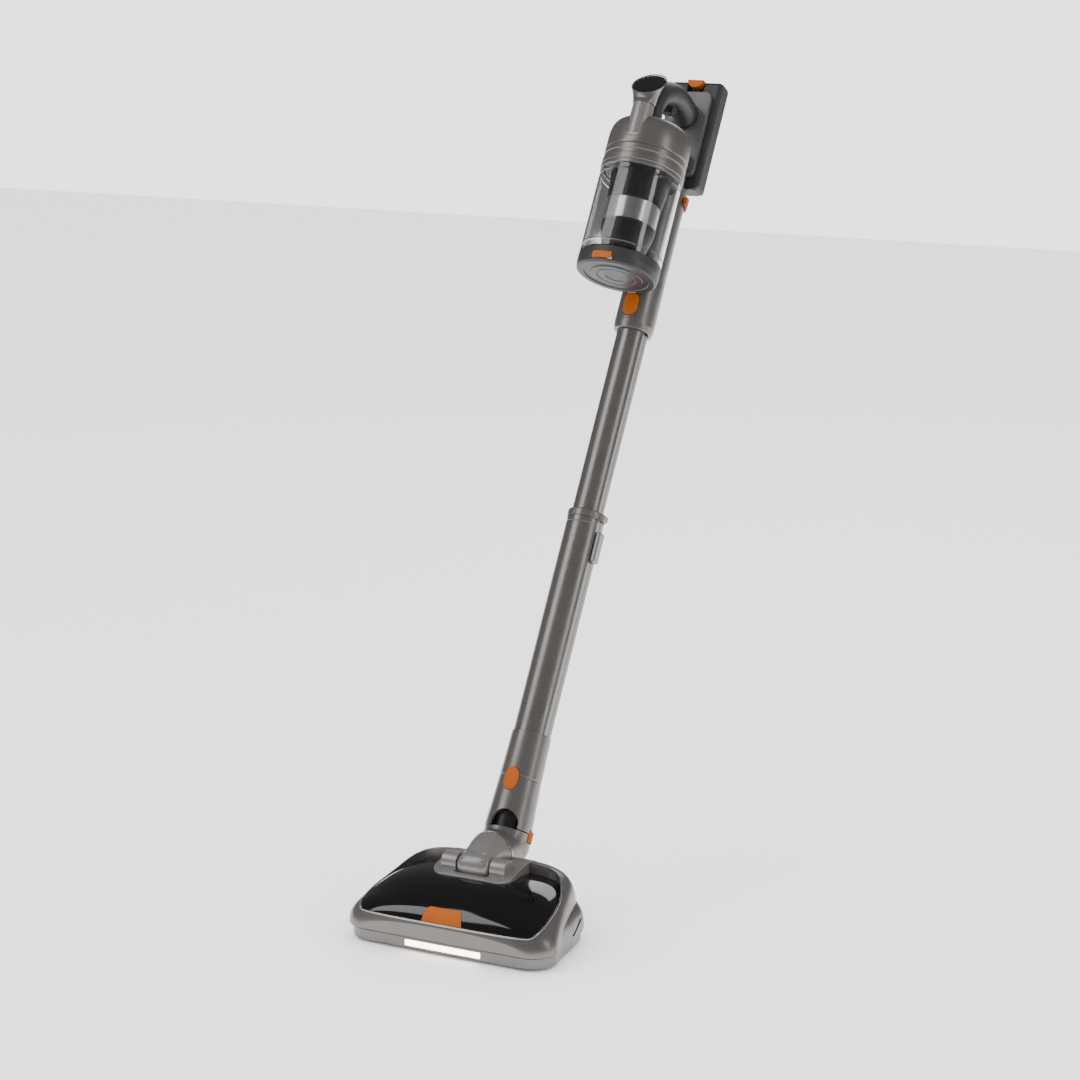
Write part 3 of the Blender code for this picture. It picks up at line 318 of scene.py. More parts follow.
def brushed_steel(name, colour=(0.62, 0.61, 0.60), roughness=0.24, stretch=(1.0, 1.0, 0.02)):
    """Steel with fine lines: noise drawn out along one direction."""
    finish = Finish(name, colour, roughness, 1.0)
    line_place = finish.node("ShaderNodeMapping", {}, {"Vector": finish.wand_place(), "Scale": stretch})
    line = finish.noise(1800, 3.0, line_place)
    finish.set("Roughness", finish.limit(line, 0.3, 0.75, roughness - 0.05, roughness + 0.12))
    finish.set("Base Color", finish.mix(finish.limit(line, 0.3, 0.7), finish.shade(0.85), finish.shade(1.1)))
    finish.relief(line, 0.00002)
    return finish.material


def screen_mesh(name):
    """Perforated steel: round holes 0.6 mm across, 1.2 mm apart in staggered rows round the cup's axis; the holes are
    painted near-black as painted shade.
    """
    finish = Finish(name, (0.72, 0.71, 0.69), 0.22, 1.0)
    x, n, s = (finish.node("ShaderNodeSeparateXYZ", {}, {0: finish.wand_place()}, axis) for axis in "XYZ")
    pitch = 0.0012
    angle = finish.node("ShaderNodeMath", {"operation": "ARCTAN2"}, {0: x, 1: n - CUP_N})
    row = s / (pitch * 0.87)
    across = angle * (0.030 / pitch) + (row.whole() * 0.5).part()
    u, v = across.part() - 0.5, row.part() - 0.5
    distance = (u * u + v * v) ** 0.5
    hole = finish.limit(distance, 0.20, 0.26, 1.0, 0.0)
    # painted shade: the holes are coloured near-black for the dark seen through them
    finish.set("Base Color", finish.mix(hole, finish.colour, (0.004, 0.004, 0.004, 1.0)))
    finish.set("Metallic", 1.0 - hole)
    finish.set("Roughness", 0.24 + hole * 0.5)
    finish.relief(1.0 - hole, 0.0002, 0.0002)
    return finish.material


def rubber(name, colour=(0.022, 0.022, 0.022)):
    finish = Finish(name, colour, 0.62, 0.0, IOR=1.5)
    dust = finish.noise(90, 4.0)
    finish.set("Base Color", finish.mix(finish.limit(dust, 0.5, 0.85), finish.shade(1.0), finish.shade(2.2)))
    finish.set("Roughness", finish.limit(dust, 0.3, 0.8, 0.5, 0.75))
    finish.relief(finish.noise(1400, 2.0), 0.00008)
    return finish.material


def pleated_foam(name):
    """Filter paper in pleats round the cup's axis, the pleats' hollows painted darker and their crests lighter as
    painted shade and light.
    """
    finish = Finish(name, (0.42, 0.42, 0.43), 0.95)
    x, n, _ = (finish.node("ShaderNodeSeparateXYZ", {}, {0: finish.wand_place()}, axis) for axis in "XYZ")
    angle = finish.node("ShaderNodeMath", {"operation": "ARCTAN2"}, {0: x, 1: n - CUP_N})
    pleat = (angle * 90.0).sine()
    # painted shade and light: each pleat's colour follows its fold, darker in the hollows and lighter on the crests
    finish.set("Base Color", finish.mix(finish.limit(pleat, -1.0, 1.0), finish.shade(0.6), finish.shade(1.2)))
    finish.relief(pleat, 0.0008)
    return finish.material


def circuit_board(name):
    """Green board with copper tracks under its lacquer."""
    finish = Finish(name, (0.02, 0.13, 0.05), 0.35, 0.0, IOR=1.5)
    track = finish.limit((finish.noise(90, 0.0) * 9.0).part(), 0.46, 0.52)
    finish.set("Base Color", finish.mix(track, finish.shade(0.8), (0.05, 0.24, 0.09, 1.0)))
    finish.relief(track, 0.00006)
    return finish.material


def wrapped_cell(name):
    finish = Finish(name, (0.03, 0.035, 0.04), 0.34, 0.0, IOR=1.5)
    wrinkle = finish.noise(160, 3.0, finish.wand_place(6))
    # painted shade and light: the colour follows the wrinkles' relief, darker in their hollows and lighter on their
    # crests
    finish.set("Base Color", finish.mix(finish.limit(wrinkle, 0.3, 0.8), finish.shade(0.8), finish.shade(1.2)))
    finish.relief(wrinkle, 0.0002)
    return finish.material


def bristles(name):
    """Nylon tufts: dark lines across the strip, the gaps between tufts painted darker as painted shade."""
    finish = Finish(name, (0.05, 0.05, 0.055), 0.55)
    x = finish.node("ShaderNodeSeparateXYZ", {}, {0: finish.place()}, "X")
    tuft = finish.limit((x * 420.0).sine(), -0.6, 0.4)
    hair = finish.noise(2600, 2.0)
    # painted shade: the gaps between tufts are coloured at a quarter of the nylon's tone
    finish.set("Base Color", finish.mix(tuft * (0.5 + hair * 0.5), finish.shade(0.25), finish.shade(2.0)))
    finish.relief(tuft + hair * 0.4, 0.0006)
    return finish.material


def lamp_lens(name):
    """A lit strip, brighter towards its middle lamps."""
    finish = Finish(name, (0.95, 0.93, 0.86), 0.25, 0.0, Emission_Strength=8.0)
    x = finish.node("ShaderNodeSeparateXYZ", {}, {0: finish.place()}, "X")
    lamp = finish.limit((x * 330.0).sine(), -1.0, 1.0)
    finish.set("Emission Color", finish.mix(lamp, (1.0, 0.80, 0.50, 1.0), (1.0, 0.95, 0.84, 1.0)))
    return finish.material


# ---------------------------------------------------------------- meshes

def keep_mesh(name, points, faces, paint=None):
    """An object of those points and faces, its doubles merged and its normals outwards."""
    mesh = bpy.data.meshes.new(name)
    mesh.from_pydata(points.tolist(), [], faces)
    bm = bmesh.new()
    bm.from_mesh(mesh)
    bmesh.ops.remove_doubles(bm, verts=bm.verts, dist=0.000002)
    bmesh.ops.recalc_face_normals(bm, faces=bm.faces)
    bm.to_mesh(mesh)
    bm.free()
    piece = bpy.data.objects.new(name, mesh)
    bpy.context.scene.collection.objects.link(piece)
    if paint:
        mesh.materials.append(paint)
    return piece


def skin(name, points, paint=None, wrap_rows=False):
    """A surface over a grid of points (rows, columns, 3). Columns close round; rows close round or end in poles."""
    if not wrap_rows:
        first = np.broadcast_to(points[:1].mean(axis=1, keepdims=True), points[:1].shape)
        last = np.broadcast_to(points[-1:].mean(axis=1, keepdims=True), points[:1].shape)
        points = np.concatenate([first, points, last])
    rows, columns = points.shape[:2]
    row = np.arange(rows if wrap_rows else rows - 1)[:, None]
    column = np.arange(columns)[None, :]
    below, beside = (row + 1) % rows, (column + 1) % columns
    faces = np.stack([row * columns + column, row * columns + beside, below * columns + beside,
                      below * columns + column], -1).reshape(-1, 4)
    return keep_mesh(name, points.reshape(-1, 3), faces.tolist(), paint)


def prism(name, outline, origin, across, up, depth, paint=None):
    """A flat outline in the plane of across and up, carried along depth, a vector."""
    outline = np.asarray(outline, float)
    flat = origin + outline[:, :1] * across + outline[:, 1:] * up
    count = len(flat)
    faces = [tuple(range(count)), tuple(range(2 * count - 1, count - 1, -1))]
    faces += [(i, (i + 1) % count, count + (i + 1) % count, count + i) for i in range(count)]
    return keep_mesh(name, np.concatenate([flat, flat + depth]), faces, paint)


def box_between(name, low, high, place):
    """A cutter: the box between two corners, its points carried by place."""
    corners = np.array([(x, y, z) for x in (low[0], high[0]) for y in (low[1], high[1])
                        for z in (low[2], high[2])], float)
    faces = [(0, 1, 3, 2), (4, 6, 7, 5), (0, 4, 5, 1), (2, 3, 7, 6), (0, 2, 6, 4), (1, 5, 7, 3)]
    return keep_mesh(name, place(corners), faces)


def soften(profile, radius, closed, steps=4):
    """The profile with each corner replaced by a quadratic curve that starts radius before it and ends as far after."""
    points = np.asarray(profile, float)
    before, after = np.roll(points, 1, axis=0), np.roll(points, -1, axis=0)

    def towards(other):
        away = other - points
        length = np.linalg.norm(away, axis=1, keepdims=True)
        return points + away * np.minimum(radius / np.maximum(length, 1e-9), 0.45)

    share = np.linspace(0, 1, steps)[None, :, None]
    start, end = towards(before)[:, None], towards(after)[:, None]
    curve = start * (1 - share) ** 2 + 2 * share * (1 - share) * points[:, None] + end * share ** 2
    if not closed:
        curve[0], curve[-1] = points[0], points[-1]
    curve = curve.reshape(-1, 2)
    fresh = np.linalg.norm(np.diff(curve, axis=0, prepend=curve[:1] + 1), axis=1) > 1e-7
    return curve[fresh]


WAND_AXIS = (WAND_FOOT, RIGHT, BACK_WAND, UP_WAND)
CUP_AXIS = (WAND_FOOT - CUP_N * BACK_WAND, RIGHT, BACK_WAND, UP_WAND)


def axis_x(x, y, z):
    return (np.array((x, y, z), float), np.array((0, 0, 1.0)), np.array((0, 1.0, 0)), RIGHT)


def turned(name, profile, axis, paint=None, ring=False, radius=0.0006, sides=96, flat=None):
    """A profile of (radius, height) turned about an axis: point = origin + r cos a e1 + r sin a e2 + h e3.

    A flat, if given, is the largest distance that the surface may stand out along e1.
    """
    origin, first, second, along = axis
    outline = soften(profile, radius, ring)
    angle = np.linspace(0, TURN, sides, endpoint=False)
    r, h = outline[:, 0, None], outline[:, 1, None]
    out = r * np.cos(angle)
    if flat is not None:
        out = np.where(r > flat, np.minimum(out, flat), out)
    points = (origin + out[..., None] * first + (r * np.sin(angle))[..., None] * second
              + (h + 0 * angle)[..., None] * along)
    return skin(name, points, paint, ring)


def on_axis(axis):
    """A function that carries points given in the axis's own x, y, height to the world."""
    origin, first, second, along = axis
    return lambda points: (origin + points[:, :1] * first + points[:, 1:2] * second + points[:, 2:] * along)


ON_WAND, ON_CUP = on_axis(WAND_AXIS), on_axis(CUP_AXIS)


def wand_prism(name, outline, n, depth):
    """A cutter through the wand from the front: an outline of (x, s) between n and n - depth."""
    return prism(name, outline, WAND_FOOT - n * BACK_WAND, RIGHT, UP_WAND, depth * BACK_WAND)


def oval(width, height, power=2.5, count=48, centre=(0.0, 0.0)):
    """A superellipse: each coordinate is half the size times the cosine or sine to the power 2 / power."""
    angle = np.linspace(0, TURN, count, endpoint=False)
    x, y = np.cos(angle), np.sin(angle)
    return np.stack([centre[0] + width / 2 * np.sign(x) * np.abs(x) ** (2 / power),
                     centre[1] + height / 2 * np.sign(y) * np.abs(y) ** (2 / power)], 1)


def arc(centre, radius, start, end, count):
    angle = np.radians(np.linspace(start, end, count))
    return np.stack([centre[0] + radius * np.cos(angle), centre[1] + radius * np.sin(angle)], 1)


def finish_piece(piece, body, *nodes, slot=None, cuts=(), joins=(), keeps=()):
    """Cuts the piece, smooths its faces up to its edges, and lets it ride its body in the nodes' stead."""
    for operation, others in (("UNION", joins), ("INTERSECT", keeps), ("DIFFERENCE", cuts)):
        for other in others:
            step = piece.modifiers.new(other.name, "BOOLEAN")
            step.operation = operation
            step.solver = "EXACT"
            step.object = other
    if piece.modifiers:
        graph = bpy.context.evaluated_depsgraph_get()
        carved = bpy.data.meshes.new_from_object(piece.evaluated_get(graph))
        piece.modifiers.clear()
        piece.data = carved
    for other in (*cuts, *joins, *keeps):
        bpy.data.objects.remove(other, do_unlink=True)
    piece.data.shade_smooth()
    piece.data.set_sharp_from_angle(angle=math.radians(35))
    piece.modifiers.new("even_normals", "WEIGHTED_NORMAL").keep_sharp = True
    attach(piece, body)
    if nodes:
        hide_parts(*nodes)
    return piece


# ---------------------------------------------------------------- finishes of this machine

GREY_PAINT = metallic_paint("warm_grey_paint", (0.165, 0.156, 0.149))
TUBE_PAINT = metallic_paint("drawn_tube_paint", (0.165, 0.156, 0.149), 0.27, streaks=True)
PALE_GREY = metallic_paint("pale_grey_paint", (0.21, 0.202, 0.196), 0.34, 0.7)
DOCK_GREY = metallic_paint("dock_paint", (0.085, 0.081, 0.079), 0.38, 0.5)
BRIGHT_TRIM = metallic_paint("bright_trim", (0.42, 0.41, 0.40), 0.2, 0.95)
DARK_GREY = moulded("dark_grey_plastic", (0.0175, 0.0168, 0.0168), 0.40)
BLACK_PLASTIC = moulded("black_plastic", (0.005, 0.005, 0.0047), 0.36)
ORANGE = moulded("orange_plastic", (0.240, 0.051, 0.0005), 0.48, Specular_IOR_Level=0.15)
CLEAR_CUP = clear("clear_plastic", (0.93, 0.93, 0.925))
SMOKED = polished("smoked_window", (0.0012, 0.0012, 0.0012), Coat_Weight=0.4, Coat_Roughness=0.03)
DISPLAY_BLACK = polished("display_black", (0.001, 0.001, 0.001), 0.04, Coat_Weight=0.4, Coat_Roughness=0.02)
STEEL = brushed_steel("brushed_steel")
BRIGHT_STEEL = screen_mesh("perforated_steel")
FILTER = pleated_foam("pleated_filter")
BOARD = circuit_board("circuit_board")
RUBBER = rubber("black_rubber")
HOSE_RUBBER = rubber("hose_rubber", (0.014, 0.014, 0.014))
BRISTLE = bristles("bristle_nylon")
LAMP = lamp_lens("lamp_lens")
CELL = wrapped_cell("cell_wrap")

NODE_FINISH = {
    "telescope_collar": GREY_PAINT, "telescope_slider": PALE_GREY, "casing_button": ORANGE,
    "wand_release": ORANGE, "bin_release": ORANGE, "lid_latch": ORANGE, "battery_latch": ORANGE,
    "heel_release": ORANGE, "window_latch": ORANGE, "battery_case": DARK_GREY, "battery_dock": DOCK_GREY,
    "cell_pack": CELL, "trigger": BLACK_PLASTIC, "display_stalk": PALE_GREY, "display_bezel": GREY_PAINT,
    "control_board": BOARD, "hepa_filter": FILTER, "pre_filter": FILTER, "motor_can": STEEL,
    "impeller": STEEL, "lid_pin": STEEL, "lid_seal": RUBBER, "swivel_ring": BRIGHT_TRIM,
    "neck_hose": HOSE_RUBBER, "pivot_pin_left": STEEL, "pivot_pin_right": STEEL, "brush_motor": STEEL,
    "motor_pulley": BLACK_PLASTIC, "drive_belt": RUBBER, "brush_core": BLACK_PLASTIC,
    "bristle_strip": BRISTLE, "brush_bearing": STEEL, "led_lens": LAMP, "felt_strip": RUBBER,
    "bumper_strip": RUBBER, "head_base": GREY_PAINT,
}


def paint_frame():
    """Gives the frame's own pieces their finishes."""
    for name, paint in NODE_FINISH.items():
        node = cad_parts[name]
        node.data.materials.clear()
        node.data.materials.append(paint)


# ---------------------------------------------------------------- wand

def tube(name, node, radius, low, high, body):
    """A tube with a flat down its right side and a thin groove round its upper end."""
    wall = 0.0028
    profile = [(radius, high), (radius, high - 0.0060), (radius - 0.0003, high - 0.0063),
               (radius - 0.0003, high - 0.0067), (radius, high - 0.0070), (radius, low),
               (radius - wall, low), (radius - wall, high)]
    piece = turned(name, profile, WAND_AXIS, TUBE_PAINT, True, 0.0003, 128, radius * 0.927)
    # a thin groove down the flat
    edge = radius * 0.927
    groove = box_between(name + "_groove", (edge - 0.0004, -0.0006, low - 0.01),
                         (edge + 0.01, 0.0006, high + 0.01), ON_WAND)
    return finish_piece(piece, body, node, slot="warm_grey_paint", cuts=[groove])


def make_wand():
    tube("upper_tube_skin", "upper_tube", 0.0175, 0.2550, 0.5600, "upper_wand")
    tube("lower_tube_skin", "lower_tube", 0.0205, 0.0150, 0.2977, "lower_wand")

    low, high = -0.0560, 0.0507
    casing = turned("casing_skin",
                    [(0.0217, high), (0.0225, 0.0200), (0.0230, 0.0010), (0.0226, 0.0), (0.0231, -0.0010),
                     (0.0244, -0.0300), (0.0256, -0.0500), (0.0258, low), (0.0226, low),
                     (0.0193, -0.0420), (0.0193, 0.0140), (0.0208, 0.0140), (0.0208, high)], WAND_AXIS,
                    GREY_PAINT, True, 0.0004)
    arch = np.concatenate([arc((0.0045, -0.0520), 0.0145, 0, 180, 32), [(-0.0100, -0.0700), (0.0190, -0.0700)]])
    finish_piece(casing, "lower_wand", "lower_casing", slot="warm_grey_plastic",
                 cuts=[wand_prism("arch", arch, 0.0430, 0.0300),
                       wand_prism("pocket", oval(0.0168, 0.0258, centre=(0.0005, -0.0040)), 0.0390, 0.0200),
                       box_between("heel", (0.0188, 0.0, -0.0664), (0.0320, 0.0120, -0.0516), ON_WAND)])
    inside = turned("connector_skin", [(0.0186, -0.0180), (0.0186, -0.0330), (0.0180, -0.0334),
                                       (0.0180, -0.0362), (0.0186, -0.0366), (0.0186, -0.0567),
                                       (0.0146, -0.0567), (0.0146, -0.0180)], WAND_AXIS, BLACK_PLASTIC, True,
                    0.0004)
    finish_piece(inside, "neck", "connector", slot="black_plastic")


# ---------------------------------------------------------------- hand-held unit

def make_duct():
    low, high = 0.5210, 0.7005
    bore = 0.0179
    duct = turned("duct_skin",
                  [(0, high), (0.0205, high), (0.0222, high - 0.0020), (0.0222, 0.5850), (0.0226, 0.5750),
                   (0.0228, 0.5280), (0.0214, low), (bore, low), (bore, 0.5625), (0.0165, 0.5625),
                   (0.0165, high - 0.0030), (0, high - 0.0030)], WAND_AXIS, GREY_PAINT)
    finish_piece(duct, "handheld", "intake_duct", slot="warm_grey_plastic",
                 cuts=[wand_prism("pocket", oval(0.0188, 0.0278, centre=(0, 0.5480)), 0.0390, 0.0200),
                       box_between("port", (-0.0090, -0.0400, 0.6800), (0.0090, -0.0100, 0.6940), ON_WAND)])


def make_collar_and_housing():
    low, high = 0.6772, 0.7007
    outer = 0.0468
    collar = turned("collar_skin",
                    [(0.0464, high), (0.0464, 0.6945), (0.0456, 0.6940), (0.0456, 0.6895), (outer, 0.6890),
                     (outer, 0.6825), (0.0463, 0.6822), (0.0463, 0.6812), (outer, 0.6809), (outer, low),
                     (0.0435, low), (0.0435, high)], CUP_AXIS, GREY_PAINT, True, 0.0003, 128)
    finish_piece(collar, "handheld", "housing_collar", slot="warm_grey_plastic",
                 cuts=[box_between("slot", (-0.0095, 0.0300, 0.6800), (0.0095, 0.0600, 0.6940), ON_CUP)])

    top = 0.7415
    housing = turned("housing_skin",
                     [(0, top), (0.0300, top - 0.0005), (0.0370, top - 0.0030), (0.0425, top - 0.0075),
                      (0.0455, top - 0.0140), (0.0465, top - 0.0240), (0.0465, 0.7013), (0.0440, 0.7013),
                      (0.0440, top - 0.0240), (0.0430, top - 0.0150), (0.0400, top - 0.0090),
                      (0.0350, top - 0.0053), (0.0290, top - 0.0030), (0, top - 0.0025)], CUP_AXIS,
                     GREY_PAINT, False, 0.0040, 128)
    slots = [box_between(f"exhaust_{i}", (-0.0600, -0.0160 + 0.0080 * i, 0.7050),
                         (-0.0300, -0.0130 + 0.0080 * i, 0.7160), ON_CUP) for i in range(5)]
    finish_piece(housing, "handheld", "motor_housing", slot="warm_grey_plastic",
                 cuts=slots + [stalk("stalk_room", GAP, None)])
    finish_piece(stalk("stalk_skin", 0.0, PALE_GREY), "handheld", "display_stalk", slot="light_grey_plastic",
                 cuts=[turned("stalk_hollow", [(0, 0.7185), (0.0430, 0.7185), (0.0430, 0.69), (0, 0.69)],
                              CUP_AXIS)])


def stalk(name, spread, paint):
    """The column under the display, or the room for it in the housing."""
    radius = 0.0120 + spread
    axis = (WAND_FOOT - 0.1070 * BACK_WAND, RIGHT, BACK_WAND, UP_WAND)
    return turned(name, [(0, 0.7500), (radius, 0.7500), (radius + 0.0006, 0.7115),
                         (radius - 0.0022, 0.7085 - spread), (0, 0.7085 - spread)], axis, paint)


def make_cyclone():
    turned_inside = (
        ("cyclone_body_skin", "cyclone_body", DARK_GREY, "dark_grey_plastic",
         [(0.0425, 0.6805), (0.0425, 0.6776), (0.0340, 0.6760), (0.0310, 0.6440), (0.0270, 0.6440),
          (0.0290, 0.6805)]),
        ("mesh_screen_skin", "mesh_screen", BRIGHT_STEEL, "steel",
         [(0.0300, 0.6436), (0.0300, 0.6185), (0.0286, 0.6185), (0.0286, 0.6436)]),
        ("cyclone_skirt_skin", "cyclone_skirt", DARK_GREY, "dark_grey_plastic",
         [(0.0305, 0.6181), (0.0305, 0.6120), (0.0245, 0.5880), (0.0220, 0.5880), (0.0275, 0.6181)]),
    )
    for name, node, paint, slot, profile in turned_inside:
        finish_piece(turned(name, profile, CUP_AXIS, paint, True, 0.0004, 128), "handheld", node, slot=slot)


def make_cup():
    low, high = 0.5774, 0.6767
    outer, inner = 0.0460, 0.0440
    cup = turned("cup_skin",
                 [(outer, high), (outer, 0.6712), (0.0457, 0.6708), (0.0457, 0.6698), (outer, 0.6694),
                  (outer, 0.5860), (0.0457, 0.5856), (0.0457, 0.5846), (outer, 0.5842), (outer, low),
                  (inner, low), (inner, high)], CUP_AXIS, CLEAR_CUP, True, 0.0003, 128)
    arm = box_between("hinge_arm", (-0.0060, 0.0425, 0.5592), (0.0060, 0.0468, 0.5834), ON_CUP)
    hole = turned("pin_hole", [(0, 0.02), (0.0015, 0.02), (0.0015, -0.02), (0, -0.02)],
                  axis_x(*on_cup_point(0, 0.0448, 0.5616)), sides=24)
    finish_piece(cup, "cup", "dust_cup", slot="clear_plastic", joins=[arm], cuts=[hole])

    low, high = 0.5580, 0.5770
    lid = turned("lid_skin",
                 [(0, 0.5610), (0.0425, 0.5610), (0.0425, high), (outer, high), (0.0464, 0.5680),
                  (0.0455, 0.5600), (0.0430, low), (0.0370, low), (0.0362, 0.5592), (0.0300, 0.5592),
                  (0.0292, low), (0.0225, low), (0.0221, 0.5588), (0.0213, 0.5588), (0.0209, low),
                  (0.0120, low), (0.0115, 0.5586), (0, 0.5586)], CUP_AXIS, DARK_GREY, False, 0.0003, 128)
    box = lambda name, first, second: box_between(name, first, second, ON_CUP)
    hole = turned("pin_hole", [(0, 0.02), (0.0015, 0.02), (0.0015, -0.02), (0, -0.02)],
                  axis_x(*on_cup_point(0, 0.0448, 0.5616)), sides=24)
    finish_piece(lid, "lid", "cup_lid", slot="dark_grey_plastic",
                 joins=[box("lug_left", (-0.0105, 0.0400, 0.5594), (-0.0066, 0.0466, 0.5650)),
                        box("lug_right", (0.0066, 0.0400, 0.5594), (0.0105, 0.0466, 0.5650))],
                 cuts=[box("arm_notch", (-0.0064, 0.0395, 0.5500), (0.0064, 0.0600, 0.5900)),
                       box("latch_slot", (-0.0120, -0.0600, 0.5613), (0.0120, -0.0300, 0.5697)), hole])


def make_battery_foot():
    """The cover that closes the battery's foot, with three contact slots."""
    cover = prism("battery_foot_cover", oval(0.0564, 0.0184, 8.0, 64), WAND_FOOT + 0.0172 * BACK_WAND + 0.7034 * UP_WAND,
                  RIGHT, BACK_WAND, 0.0020 * UP_WAND, DARK_GREY)
    slots = [box_between(f"contact_{i}", (x - 0.0030, 0.0120, 0.7000), (x + 0.0030, 0.0140, 0.7044), ON_WAND)
             for i, x in enumerate((-0.0120, 0.0, 0.0120))]
    finish_piece(cover, "battery", slot="dark_grey_plastic", cuts=slots)


def on_cup_point(x, y, height):
    return ON_CUP(np.array([(x, y, height)], float))[0]


def smooth_line(places, xs, ys):
    """A cubic through a table: on each span the cubic that matches both ends' heights and slopes."""
    xs, ys = np.asarray(xs, float), np.asarray(ys, float)
    slopes = np.gradient(ys, xs)
    span = np.clip(np.searchsorted(xs, places, side="right") - 1, 0, len(xs) - 2)
    width = xs[span + 1] - xs[span]
    t = np.clip((places - xs[span]) / width, 0, 1)
    return ((1 + 2 * t) * (1 - t) ** 2 * ys[span] + t * (1 - t) ** 2 * width * slopes[span]
            + t * t * (3 - 2 * t) * ys[span + 1] + t * t * (t - 1) * width * slopes[span + 1])


def make_handle():
    """The grip: superellipses carried square to a smooth path of (n, s)."""
    knots = np.arange(9.0)
    share = np.linspace(0, 8, 57)
    path_n = smooth_line(share, knots, (0.0790, 0.0825, 0.0825, 0.0765, 0.0620, 0.0460, 0.0300, 0.0160, 0.0036))
    path_s = smooth_line(share, knots, (0.7300, 0.7450, 0.7600, 0.7760, 0.7865, 0.7915, 0.7920, 0.7905, 0.7880))
    wide = smooth_line(share, knots, (0.0240, 0.0230, 0.0230, 0.0260, 0.0290, 0.0300, 0.0300, 0.0300, 0.0300))
    deep = smooth_line(share, knots, (0.0220, 0.0200, 0.0200, 0.0240, 0.0280, 0.0290, 0.0290, 0.0300, 0.0330))
    along = np.stack([np.gradient(path_n), np.gradient(path_s)], 1)
    along /= np.linalg.norm(along, axis=1, keepdims=True)
    out = np.stack([-along[:, 1], along[:, 0]], 1)
    out[-1] = (0.0, 1.0)
    unit = oval(2.0, 2.0, 2.4, 72)
    x = wide[:, None] / 2 * unit[:, 0]
    reach = deep[:, None] / 2 * unit[:, 1]
    n = path_n[:, None] + out[:, :1] * reach
    s = path_s[:, None] + out[:, 1:] * reach
    points = ON_WAND(np.stack([x, -n, s], -1).reshape(-1, 3)).reshape(*x.shape, 3)
    grip = skin("grip_skin", points, DARK_GREY)
    spread = GAP
    top = 0.7415 + spread
    seat = turned("grip_seat", [(0, top), (0.0303, top - 0.0005), (0.0373, top - 0.0030),
                                (0.0428, top - 0.0075), (0.0458, top - 0.0140), (0.0471, top - 0.0240),
                                (0.0471, 0.6760), (0, 0.6760)], CUP_AXIS)
    pocket = box_between("trigger_pocket", (-0.0075, -0.0540, 0.7600), (0.0075, -0.0352, 0.7905), ON_WAND)
    finish_piece(grip, "handheld", "handle_grip", slot="dark_grey_plastic", cuts=[seat, pocket])


def make_display():
    """The bezel's rings run from the stalk's round top to the tilted face; the glass is a shallow dome in it."""
    tilt = math.radians(57)
    up, back = UP_WAND, BACK_WAND
    normal = up * math.cos(tilt) - back * math.sin(tilt)
    down = back * math.cos(tilt) + up * math.sin(tilt)
    centre = WAND_FOOT - 0.1070 * back + 0.7770 * up
    foot = WAND_FOOT - 0.1070 * back + (0.7500 + GAP) * up
    angle = np.linspace(0, TURN, 96, endpoint=False)[:, None]
    low = foot + 0.0126 * (np.cos(angle) * RIGHT + np.sin(angle) * back)
    high = centre + 0.0205 * (np.cos(angle) * RIGHT + np.sin(angle) * down)
    rise = high - low
    rise /= np.linalg.norm(rise, axis=1, keepdims=True)
    belly = np.cross(rise, -np.sin(angle) * RIGHT + np.cos(angle) * down)
    share = np.linspace(0, 1, 17)[:, None, None]
    rings = low + (high - low) * share + belly * 0.0018 * np.sin(math.pi * share)
    bezel = skin("bezel_skin", rings, GREY_PAINT)
    face = (centre, RIGHT, down, normal)
    recess = turned("recess", [(0, 0.01), (0.0191, 0.01), (0.0191, -0.0024), (0, -0.0024)], face)
    finish_piece(bezel, "handheld", "display_bezel", slot="warm_grey_plastic", cuts=[recess])
    glass = turned("display_glass_skin", [(0, 0.0002), (0.0165, 0.0), (0.0188, -0.0006), (0.0188, -0.0020),
                                          (0, -0.0020)], face, DISPLAY_BLACK)
    finish_piece(glass, "handheld", "display_glass", slot="smoked_window")


# ---------------------------------------------------------------- neck

